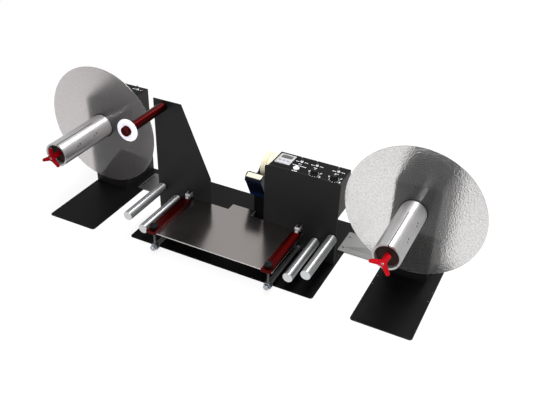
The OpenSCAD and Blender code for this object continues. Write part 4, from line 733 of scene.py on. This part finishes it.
class SPLICER_OT_boxes(SplicerOperator, bpy.types.Operator):
    """Dress the towers, housings, covers, brackets and inlets."""

    bl_idname = "splicer.boxes"
    bl_label = "Towers and housings"

    def make(self):
        edge, shortest = shapes().edge, 2.6 * MM
        for node in ("left_tower", "right_tower", "rear_covers"):
            dressed(node, "paint", edge, shortest)
        for node in ("control_housing", "station_housings"):
            # The housings' top faces take the darker copy of the coat, painted shade
            made = dressed(node, "paint", edge, shortest, extra=("plate_paint",))
            split_faces(made.data, lambda face: face.normal.z > 0.9)
        dressed("table_brackets", "paint", edge * 0.7)
        paint_nodes({
            "power_inlets": "black", "motor_brackets": "ground", "gearmotors": "motor",
            "spindle_bearings": "motor", "circuit_boards": "board", "roller_sensor": "zinc"})


class SPLICER_OT_table(SplicerOperator, bpy.types.Operator):
    """Dress the splicing table."""

    bl_idname = "splicer.table"
    bl_label = "Splicing table"

    def make(self):
        sheet = dressed("splicing_table", "table", 0.45 * MM, 0.5 * MM, extra=("sheet_edge",))
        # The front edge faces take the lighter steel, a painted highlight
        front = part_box("splicing_table")[0].y + 2.0 * MM
        split_faces(sheet.data, lambda face: face.center.y < front and face.normal.y < -0.3)


class SPLICER_OT_rollers(SplicerOperator, bpy.types.Operator):
    """Turn the idler rollers, the guide roller and its flange."""

    bl_idname = "splicer.rollers"
    bl_label = "Rollers"

    bore, wall, lip = 9.05 * MM, 8.0 * MM, 0.8 * MM
    flange_bore, flange_hub, flange_plate, flange_lip = 14.6 * MM, 19.0 * MM, 5.0 * MM, 1.2 * MM

    def make(self):
        for node in ROLLERS:
            # The front end faces take the lighter copy of the roller metal, painted light
            self.roller(node, "roller", "roller_end")
        self.roller("guide_roller", "guide_red", "guide_red")
        self.flange("guide_flange")
        paint_nodes({"roller_shafts": "ground", "roller_bushes": "bronze"})

    def roller(self, node, mat, end_mat):
        """A roller with a softly dished end, open at the back for its shaft."""
        start, end = (corner.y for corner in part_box(node))
        radius, lip = half_width(node), self.lip
        lathe(node, "_turned", [
            (start + 0.6 * MM, 0.0), (start + 0.6 * MM, radius * 0.16),
            (start + 0.25 * MM, radius * 0.2), (start + 0.25 * MM, radius * 0.8),
            (start, radius * 0.84), (start, radius - lip), (start + 0.3 * lip, radius - 0.3 * lip),
            (start + lip, radius), (end - lip, radius), (end, radius - lip),
            (end, self.bore), (start + self.wall, self.bore), (start + self.wall, 0.0),
        ], "Y", 96, (mat, end_mat), 28.0, mats=[1] * 6 + [0] * 6)

    def flange(self, node):
        """A flange plate with a hub behind it."""
        start, end = (corner.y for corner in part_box(node))
        radius, bore, hub = half_width(node), self.flange_bore, self.flange_hub
        plate, lip = start + self.flange_plate, self.flange_lip
        lathe(node, "_turned", [
            (start + 0.4 * MM, bore), (start, bore + 0.5 * MM), (start, radius - lip),
            (start + 0.35 * lip, radius - 0.35 * lip), (start + lip, radius),
            (plate - lip, radius), (plate, radius - lip), (plate, hub + 1.5 * MM),
            (plate + 1.5 * MM, hub), (end - lip, hub), (end, hub - lip), (end, bore),
        ], "Y", 96, ("white",), 30.0, closed=True)


class SPLICER_OT_clamps(SplicerOperator, bpy.types.Operator):
    """Dress the clamp bars, knobs, eye bolts, rods and hinge brackets."""

    bl_idname = "splicer.clamps"
    bl_label = "Clamps"

    plate_depth = 3.8 * MM

    def make(self):
        for side in SIDES:
            self.bar(side + "_clamp_bar")
            self.knob(side + "_clamp_knob")
        dressed("clamp_eye_bolts", "dark_zinc", 0.5 * MM, 0.9 * MM)
        made = dressed("hinge_brackets", "hinge", 0.6 * MM, 2.5 * MM, extra=("paint",))
        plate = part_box("left_tower")[0].y - self.plate_depth
        split_faces(made.data, lambda face: face.center.y > plate)
        paint_nodes({"clamp_rods": "rod"})

    def bar(self, node):
        """A red bar whose narrow rear end, the middle of the hinge, is bare metal."""
        made = dressed(node, "red_metal", 0.8 * MM, extra=("hinge",))
        half, centre = half_width(node) - 1.5 * MM, middle(node).x
        rear = max(v.co.y for v in made.data.vertices if abs(v.co.x - centre) > half)
        split_faces(made.data, lambda face: face.center.y > rear + 0.5 * MM)

    def knob(self, node):
        """A fluted knob with a dished top and an open bore."""
        bottom, top = (corner.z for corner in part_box(node))
        radius, flutes = half_width(node), shapes().knob_flutes
        bore, roof = 5.0 * MM, 2.0 * MM

        def wave(turn, index):
            return -0.7 * MM * max(0.0, cos(turn * flutes)) ** 2 if 2 < index < 8 else 0.0

        lathe(node, "_fluted", [
            (top - roof, 0.0), (top - roof, bore), (bottom, bore), (bottom, radius - 1.6 * MM),
            (bottom + 0.8 * MM, radius - 0.3 * MM), (bottom + 1.6 * MM, radius),
            (top - 2.4 * MM, radius), (top - 1.0 * MM, radius - 0.5 * MM),
            (top - 0.2 * MM, radius - 1.8 * MM), (top, radius - 3.2 * MM),
            (top, radius * 0.5), (top - 0.4 * MM, radius * 0.45), (top - 0.4 * MM, 0.0),
        ], "Z", flutes * 10, ("black",), 40.0, wave=wave)


class SPLICER_OT_controls(SplicerOperator, bpy.types.Operator):
    """Make the counter, push button, toggles, dials, lamps and marks."""

    bl_idname = "splicer.controls"
    bl_label = "Controls"

    figures = "0128"
    key_h, depth, ink_h = 0.6 * MM, 0.6 * MM, 0.05 * MM

    def make(self):
        self.counter()
        self.button("push_button")
        for node in (*PANEL_TOGGLES, "left_station_toggle", "right_station_toggle"):
            self.lever(node)
        for side in SIDES:
            self.dial(side + "_dial")
        paint_nodes({"switch_bodies": "nut", "potentiometers": "ground", "pilot_lamps": "lamp"})
        self.marks()

    def counter(self):
        """The counter's frame, window with figures, key sheet and raised keys."""
        low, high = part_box("counter")
        width, deep, top = high.x - low.x, high.y - low.y, high.z - self.key_h
        dressed("counter", "bezel", 0.5 * MM, 5.0 * MM)
        cx, cy = (low.x + high.x) / 2, (low.y + high.y) / 2
        bm = bmesh.new()

        def slab(x, y, half_x, half_y, bottom, roof, mat, width=0.0):
            boxed(bm, (x - half_x, y - half_y, top + bottom), (x + half_x, y + half_y, top + roof),
                  mat, width)

        window, window_d, window_y = width * 0.73, deep * 0.33, cy + 0.23 * deep
        glass = 0.3 * MM - self.depth
        slab(cx, window_y, window / 2, window_d / 2, -self.depth - 0.1 * MM, glass, 0, 0.1 * MM)
        for k, number in enumerate(self.figures):
            self.digit(bm, number, cx - window * 0.34 + k * window * 0.2, window_y,
                       window * 0.11, window_d * 0.55, top + glass, 1)
        thin, reach_x, reach_y = 0.35 * MM, width * 0.44, deep * 0.45
        for side in (-1, 1):
            slab(cx + side * reach_x, cy, thin, reach_y, -0.1 * MM, self.ink_h, 3)
            slab(cx, cy + side * reach_y, reach_x, thin, -0.1 * MM, self.ink_h, 3)
        slab(cx, cy - deep * 0.21, width * 0.40, deep * 0.19, 0.0, 0.25 * MM, 2, 0.1 * MM)
        for x in (cx - 0.27 * width, cx, cx + 0.27 * width):
            slab(x, cy - 0.215 * deep, 4.5 * MM, 0.085 * deep, 0.2 * MM, 1.1 * MM, 3, 0.3 * MM)
            slab(x, cy - 0.215 * deep, 1.8 * MM, 0.020 * deep, 1.05 * MM, 1.15 * MM, 0)
        piece("counter_front", bm, ROOT, (),
              ("screen", "ink", "pad", "keys"))

    def digit(self, bm, number, x, y, w, h, z, mat):
        """A figure made of seven bars."""
        lit = {"0": "abcdef", "1": "bc", "2": "abged", "8": "abcdefg"}[number]
        t = w * 0.26
        bars = {
            "a": (0, h / 2, w, t), "g": (0, 0, w, t), "d": (0, -h / 2, w, t),
            "b": (w / 2, h / 4, t, h / 2), "c": (w / 2, -h / 4, t, h / 2),
            "f": (-w / 2, h / 4, t, h / 2), "e": (-w / 2, -h / 4, t, h / 2),
        }
        for key in lit:
            bx, by, bw, bh = bars[key]
            boxed(bm, (x + bx - bw / 2, y + by - bh / 2, z - 0.02 * MM),
                  (x + bx + bw / 2, y + by + bh / 2, z + 0.08 * MM), mat)

    def button(self, node):
        """A round cap with a dished top on a thin stem."""
        low, top = (corner.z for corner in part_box(node))
        radius, stem, cap = half_width(node), 2 * MM, top - 14 * MM
        lathe(node, "_cap", [
            (low, 0.0), (low, stem), (cap, stem), (cap, radius),
            (top - 1.5 * MM, radius), (top - 0.5 * MM, radius - 0.4 * MM),
            (top, radius - 1.6 * MM), (top - 0.3 * MM, radius * 0.4), (top - 0.35 * MM, 0.0),
        ], "Z", 48, ("white",))

    def lever(self, node):
        """A toggle: a stem, the ball that it turns on, and a rounded lever."""
        low, high = (corner.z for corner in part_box(node))
        tip, ball, stem, pivot = half_width(node), 1.8 * MM, 1.1 * MM, low + 3.0 * MM

        def arc(centre, radius, angles):
            return [(centre + radius * sin(radians(a)), radius * cos(radians(a))) for a in angles]

        lathe(node, "_lever", [
            (low, 0.0), (low, stem), (pivot - 1.42 * MM, stem),
            *arc(pivot, ball, (-36, -18, 0, 18, 36)),
            (pivot + 2.4 * MM, 1.15 * MM), (high - tip * 2.4, tip * 0.9),
            *arc(high - tip, tip, (-30, 0, 25, 45, 65)), (high, 0.0),
        ], "Z", 32, ("lever",), 60.0)

    def dial(self, node):
        """A ribbed dial with a skirt and a pointer line on its top."""
        low, top = (corner.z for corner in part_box(node))
        centre, radius, ribs = on_axis(node, "Z"), half_width(node), shapes().dial_ribs
        skirt, bore, shaft, line = top - 13.4 * MM, 8.5 * MM, 3 * MM, 0.6 * MM

        def wave(turn, index):
            return -0.45 * MM * max(0.0, cos(turn * ribs)) if 6 < index < 11 else 0.0

        bm = bmesh.new()
        turned(bm, [
            (low, 0.0), (low, shaft), (skirt + 6 * MM, shaft), (skirt + 6 * MM, bore),
            (skirt, bore), (skirt, radius), (skirt + 2.4 * MM, radius),
            (skirt + 3.0 * MM, radius * 0.9), (skirt + 3.4 * MM, radius * 0.86),
            (top - 1.4 * MM, radius * 0.82), (top - 0.4 * MM, radius * 0.78),
            (top, radius * 0.7), (top, 0.0),
        ], centre, "Z", steps=ribs * 6, wave=wave)
        boxed(bm, (centre.x - line, centre.y + 1.0 * MM, top - 0.2 * MM),
              (centre.x + line, centre.y + radius * 0.68, top + 0.0001 * MM), 1)
        stand_in(node, "_ribbed", bm, ("black", "mark"))

    def marks(self):
        """Plain ticks, figures and dashes in place of printed legends."""
        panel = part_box("control_housing")[1].z + self.ink_h
        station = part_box("station_housings")[1].z + self.ink_h
        bm = bmesh.new()
        for side in SIDES:
            at = middle(side + "_dial")
            repeated(side + "_dial_marks", tick_tree(), [(at.x, at.y, panel)],
                     {"Circle": 14.4 * MM, "Count": 12, "Finish": material("mark")},
                     ROOT)
            for k, number in enumerate(self.figures):
                turn = radians(-62 + k * 58)
                self.digit(bm, number, at.x + 21 * MM * sin(turn), at.y + 20 * MM * cos(turn),
                           3.4 * MM, 5.6 * MM, panel, 0)
        legends = [(node, start, end, y, panel) for node in PANEL_TOGGLES
                   for start, end, y in ((-5, 6, -12.5), (-18, -9, -1), (9, 20, 1))]
        legends += [("push_button", -19, 22, 18, panel), ("push_button", -8, 8, -14, panel)]
        legends += [(side + "_station_toggle", start, end, 1, station) for side in SIDES
                    for start, end in ((-22, -9), (9, 20))]
        for node, start, end, y, z in legends:
            at = middle(node)
            self.dashes(bm, at.x + start * MM, at.x + end * MM, at.y + y * MM, z)
        piece("panel_marks", bm, ROOT, (), ("mark",))

    def dashes(self, bm, start, end, y, z):
        """A row of short plain bars."""
        step, least, half, k = 3.6 * MM, 1.2 * MM, 1.1 * MM, 0
        while start + k * step + least < end:
            x = start + k * step
            wide = (2.8 * MM, 2.0 * MM, 2.4 * MM)[k % 3]
            boxed(bm, (x, y - half, z - self.ink_h), (x + wide, y + half, z + self.ink_h))
            k += 1


def soft_min(a, b, k):
    h = max(k - abs(a - b), 0.0) / k
    return min(a, b) - h * h * k / 4


def star_outline(angles, reach, root, tip, hub, fillet, inset):
    """Radius of a three-armed star at each angle, drawn in by an inset."""

    def field(x, y):
        value = sqrt(x * x + y * y) - hub
        for k in range(3):
            turn = 2 * pi * k / 3
            ahead, aside = x * cos(turn) + y * sin(turn), y * cos(turn) - x * sin(turn)
            along = min(max(ahead, 0.0), reach - tip)
            past = ahead - along
            half = root + (tip - root) * along / (reach - tip)
            value = soft_min(value, sqrt(past * past + aside * aside) - half, fillet)
        return value + inset

    result = []
    for angle in angles:
        low, high = 0.0, reach * 1.2
        for _ in range(26):
            mid = (low + high) / 2
            if field(mid * cos(angle), mid * sin(angle)) < 0:
                low = mid
            else:
                high = mid
        result.append(low)
    return result


class SPLICER_OT_reels(SplicerOperator, bpy.types.Operator):
    """Make the discs, core tubes, spindles and star knobs."""

    bl_idname = "splicer.reels"
    bl_label = "Reels"

    turns = {"left": 84.0, "right": 63.0}
    slots = {"left": 76.5, "right": 88.0}
    screw_shares, screw_turns, screw_step = (0.332, 0.684), (54.5, 59.0), 11.5
    disc_bore = 8.1 * MM
    star_steps, hub = 360, 10.0 * MM

    def make(self):
        for side in SIDES:
            self.disc(side + "_disc")
            dressed(side + "_core_tube", "tube", 0.45 * MM, 1.6 * MM)
            self.root_ring(side)
            self.core_screws(side)
            paint_nodes({side + "_spindle": "ground", side + "_draw_cone": "bore"})
            self.star(side)

    def disc(self, node):
        low, high = (corner.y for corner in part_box(node))
        radius, bore, soft = half_width(node), self.disc_bore, 0.8 * MM
        lathe(node, "_sheet", [
            (low, bore), (low, radius - soft), (low + 0.3 * soft, radius - 0.3 * soft),
            (low + soft, radius), (high - soft, radius),
            (high - 0.3 * soft, radius - 0.3 * soft), (high, radius - soft), (high, bore),
        ], "Y", 192, (node,), closed=True)

    def root_ring(self, side):
        """A dark ring between the tube's root and the disc: a painted shadow of the gap there."""
        tube = side + "_core_tube"
        root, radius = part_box(tube)[1].y, half_width(tube)
        bm = bmesh.new()
        turned(bm, [
            (root - 1.6 * MM, radius - 0.5 * MM), (root - 1.6 * MM, radius + 1.2 * MM),
            (root - 1.1 * MM, radius + 2.2 * MM), (root, radius + 2.6 * MM),
            (root, radius - 0.5 * MM),
        ], on_axis(tube, "Y"), "Y", steps=96, closed=True)
        # The black rubber finish here paints the shadow at the tube's root
        piece(side + "_root_ring", bm, side + "_spindle", (),
              ("rubber",))

    def core_screws(self, side):
        """A dark disc, painted shade of the hole, and a screw on a dark disc, painted shade round
        its head, in each pair of holes along the core tube.
        """
        tube = side + "_core_tube"
        low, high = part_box(tube)
        centre, radius = middle(tube), half_width(tube)
        bm = bmesh.new()
        for share in self.screw_shares:
            for k, turn in enumerate(self.screw_turns):
                angle = radians(self.slots[side] - turn)
                out = Vector((cos(angle), 0.0, sin(angle)))
                back = high.y - share * (high.y - low.y) - k * self.screw_step * MM
                place = Vector((centre.x, back, centre.z))
                # Dark discs in the recess finish: painted shade in the hole and round the screw
                self.stud(bm, place, out, radius, (2.7 + 0.2 * k) * MM, 0.10 * MM, 0)
                if k:
                    self.stud(bm, place, out, radius, 2.0 * MM, 0.16 * MM, 1)
        piece(side + "_core_screws", bm, side + "_spindle", (),
              ("socket", "ground"))

    def stud(self, bm, place, out, radius, reach, rise, mat):
        """A flat round disc that stands a little out of a tube, for a screw head and for the dark
        discs of painted shade.
        """
        turn = Vector((0, 0, 1)).rotation_difference(out).to_matrix().to_4x4()
        thick = 1.0 * MM
        made = bmesh.ops.create_cone(
            bm, cap_ends=True, segments=24, radius1=reach, radius2=reach * 0.94, depth=thick,
            matrix=Matrix.Translation(place + out * (radius + rise - thick / 2)) @ turn)
        for vert in made["verts"]:
            for face in vert.link_faces:
                face.material_index = mat

    def star(self, side):
        """A three-armed knob with a cap screw, a collar and its drawbar's end."""
        node = side + "_knob"
        front, back = (corner.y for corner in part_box(node))
        spindle, sizes, count = middle(side + "_spindle"), shapes(), self.star_steps
        centre = Vector((spindle.x, 0.0, spindle.z))
        dish, thick, soft = 6.0 * MM, 9.0 * MM, 4.2 * MM
        angles = [2 * pi * k / count for k in range(count)]
        start = radians(self.turns[side])
        rows = [(0.0, 4.8 * MM, 0.3)]
        for k in range(6, -1, -1):
            turn = radians(15 * k)
            rows.append((soft * (1 - sin(turn)), soft * (1 - cos(turn)), 1.0))
        rows += [(thick - 1.4 * MM, 0.0, 1.0), (thick - 0.5 * MM, 0.5 * MM, 1.0),
                 (thick, 1.6 * MM, 1.0)]
        bm = bmesh.new()
        rings = []
        for place, inset, share in rows:
            reach = star_outline(angles, sizes.knob_reach, sizes.knob_root / 2,
                                 sizes.knob_tip / 2, self.hub, sizes.knob_fillet, inset)
            ring = []
            for a, r in zip(angles, reach):
                r *= share
                lean = dish * (1.0 - min(1.0, r / sizes.knob_reach))
                ring.append(bm.verts.new(centre + Vector((
                    r * cos(a + start), front + place + lean, r * sin(a + start)))))
            rings.append(ring)
        hub = front + dish
        nose = bm.verts.new(centre + Vector((0, hub, 0)))
        tail = bm.verts.new(centre + Vector((0, hub + thick, 0)))
        for k in range(count):
            n = (k + 1) % count
            for a, b in zip(rings, rings[1:]):
                bm.faces.new((a[k], a[n], b[n], b[k]))
            bm.faces.new((nose, rings[0][n], rings[0][k]))
            bm.faces.new((tail, rings[-1][k], rings[-1][n]))
        bmesh.ops.recalc_face_normals(bm, faces=bm.faces)
        turned(bm, [
            (hub + 1.6 * MM, 0.0), (hub + 1.6 * MM, 4.4 * MM), (hub - 0.2 * MM, 4.2 * MM),
            (hub - 0.9 * MM, 3.4 * MM), (hub - 1.0 * MM, 2.1 * MM),
            (hub + 0.4 * MM, 2.0 * MM), (hub + 0.4 * MM, 0.0),
        ], centre, "Y", steps=24, mats=[1] * 6)
        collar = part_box(side + "_draw_cone")[0].y - 0.3 * MM
        turned(bm, [
            (hub + thick - 2.0 * MM, 0.0), (hub + thick - 2.0 * MM, 9.5 * MM),
            (hub + thick + 1.5 * MM, 8.6 * MM), (hub + thick + 4.0 * MM, 8.0 * MM),
            (collar - 0.8 * MM, 8.0 * MM), (collar, 7.4 * MM), (collar, 5.0 * MM),
            (back - 1.0 * MM, 5.0 * MM), (back, 4.0 * MM), (back, 0.0),
        ], centre, "Y", steps=48, mats=[0] * 6 + [1] * 3)
        stand_in(node, "_star", bm, (node, "chrome"), 50.0)


class SPLICER_OT_tape(SplicerOperator, bpy.types.Operator):
    """Dress the tape dispenser, its roll, blade, strip and post."""

    bl_idname = "splicer.tape"
    bl_label = "Tape dispenser"

    seam_share, ridge_share = 0.36, 0.17

    def make(self):
        dressed("tape_dispenser", "dispenser", 0.8 * MM, 2.7 * MM)
        dressed("tape_post", "black", 1.2 * MM, 5.0 * MM)
        paint_nodes({"tape_blade": "zinc", "tape_strip": "tape"})
        self.roll("tape_roll")

    def roll(self, node):
        """The wound roll on its card core and hub, with a seam and a ridge."""
        low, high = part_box(node)
        radius, fine = (high.z - low.z) / 2, 0.2 * MM
        start, end, inner = low.x, high.x, radius - 0.1 * MM
        seam, ridge = (start + share * (end - start)
                       for share in (self.seam_share, self.ridge_share))
        hub, hub_edge, card_in, card_out, dip = 6.05 * MM, 12.6 * MM, 12.8 * MM, 14.6 * MM, 1.0 * MM
        lathe(node, "_wound", [
            (start + dip, hub), (start + dip, hub_edge), (start, card_in), (start, card_out),
            (start, radius - fine), (start + fine, radius), (ridge - 0.6 * MM, radius),
            (ridge, radius - 0.3 * MM), (ridge + 0.6 * MM, radius), (seam - 0.7 * MM, radius),
            (seam, radius - 1.2 * MM), (seam + 0.7 * MM, inner), (end - fine, inner),
            (end, radius - fine), (end, card_out), (end, card_in), (end - dip, hub_edge),
            (end - dip, hub),
        ], "X", 96, ("tape", "tape_side", "card", "black", "seam"), closed=True,
            mats=[3, 3, 2, 1, 0, 0, 1, 1, 0, 4, 4, 0, 0, 1, 2, 3, 3, 3])


class SPLICER_OT_screws(SplicerOperator, bpy.types.Operator):
    """Finish the screws and set a dark plate, painted shade of a recess, in each head."""

    bl_idname = "splicer.screws"
    bl_label = "Screws"

    ways = {"up": (0, 0, 0), "down": (pi, 0, 0), "front": (pi / 2, 0, 0), "back": (-pi / 2, 0, 0)}
    deck_rise = 12 * MM
    longest, thinnest = 20 * MM, 5 * MM
    head_least, head_most, head_step = 5.2 * MM, 7.2 * MM, 1.0 * MM

    def make(self):
        self.paint_screws()
        for way, points in self.heads().items():
            if points:
                # Each dark plate paints the shade in a head's recess
                repeated("screw_recesses_" + way, recess_shade_tree(), points,
                         {"Radius": 1.5 * MM, "Height": 0.1 * MM, "Turn": self.ways[way],
                          "Finish": material("socket")}, ROOT)

    def edges_of_base(self):
        """The height that plate screws stay under, and the middle plate's end."""
        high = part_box("splice_base")[1]
        return high.z + self.deck_rise, high.x

    def paint_screws(self):
        """Dark screws on black sheet, satin ones on the plates, bright ones elsewhere."""
        paint_nodes({"screws": "zinc dark_zinc link ground"})
        deck, inner = self.edges_of_base()
        link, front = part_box("link_plates")[1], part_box("left_tower")[0].y
        for face in frame["nodes"]["screws"].data.polygons:
            at = face.center
            on_link = at.z > link.z - 0.2 * MM and inner < abs(at.x) < link.x
            if at.z < deck:
                face.material_index = 2 if on_link else 3
            else:
                face.material_index = 1 if at.y > front else 0

    def loose_parts(self):
        """The corner points of each screw, nut and washer."""
        bm = bmesh.new()
        bm.from_mesh(frame["nodes"]["screws"].data)
        bmesh.ops.remove_doubles(bm, verts=bm.verts, dist=WELD)
        seen, parts = set(), []
        for first in bm.verts:
            if first.index in seen:
                continue
            stack, part = [first], []
            seen.add(first.index)
            while stack:
                vert = stack.pop()
                part.append(vert.co.copy())
                for edge in vert.link_edges:
                    other = edge.other_vert(vert)
                    if other.index not in seen:
                        seen.add(other.index)
                        stack.append(other)
            parts.append(part)
        bm.free()
        return parts

    def heads(self):
        """The places of the screw heads' outer faces, by the way that they face."""
        found = {way: [] for way in self.ways}
        deck, inner = self.edges_of_base()
        for part in self.loose_parts():
            low, high = (Vector([pick(v[k] for v in part) for k in range(3)])
                         for pick in (min, max))
            size = high - low
            if max(size) > self.longest or min(size) < self.thinnest:
                continue
            for axis, ends in ((2, ("down", "up")), (1, ("front", "back"))):
                spans = []
                for end in (low, high):
                    flat = [v for v in part if abs(v[axis] - end[axis]) < 0.1 * MM]
                    spans.append(max(max(v[k] for v in flat) - min(v[k] for v in flat)
                                     for k in range(3) if k != axis))
                big = 0 if spans[0] > spans[1] else 1
                if (abs(spans[0] - spans[1]) < self.head_step
                        or not self.head_least < spans[big] < self.head_most):
                    continue
                place = (low + high) / 2
                place[axis] = (low, high)[big][axis]
                if not (place.z < deck and abs(place.x) > inner):
                    found[ends[big]].append(place)
                break
        return found


class SPLICER_PT_panel(bpy.types.Panel):
    """Lists the splicer's pieces in the sidebar."""

    bl_idname = "SPLICER_PT_panel"
    bl_label = "Splicer"
    bl_space_type = "VIEW_3D"
    bl_region_type = "UI"
    bl_category = "Splicer"

    def draw(self, context):
        for name in ORDER:
            self.layout.operator("splicer." + name)
        for data in (context.scene.splicer_finishes, context.scene.splicer_shapes):
            for prop in data.bl_rna.properties:
                if not prop.is_readonly and prop.identifier != "name":
                    self.layout.prop(data, prop.identifier)


ORDER = ("stage", "plates", "boxes", "table", "rollers", "clamps", "controls", "reels", "tape",
         "screws")
CLASSES = (
    SplicerFinishes, SplicerShapes, SPLICER_OT_stage, SPLICER_OT_plates, SPLICER_OT_boxes,
    SPLICER_OT_table, SPLICER_OT_rollers, SPLICER_OT_clamps, SPLICER_OT_controls,
    SPLICER_OT_reels, SPLICER_OT_tape, SPLICER_OT_screws, SPLICER_PT_panel,
)


def register():
    for cls in CLASSES:
        bpy.utils.register_class(cls)
    bpy.types.Scene.splicer_finishes = PointerProperty(type=SplicerFinishes)
    bpy.types.Scene.splicer_shapes = PointerProperty(type=SplicerShapes)


def unregister():
    del bpy.types.Scene.splicer_shapes
    del bpy.types.Scene.splicer_finishes
    for cls in reversed(CLASSES):
        bpy.utils.unregister_class(cls)


def main():
    register()
    for name in ORDER:
        getattr(bpy.ops.splicer, name)()


if __name__ == "__main__":
    main()
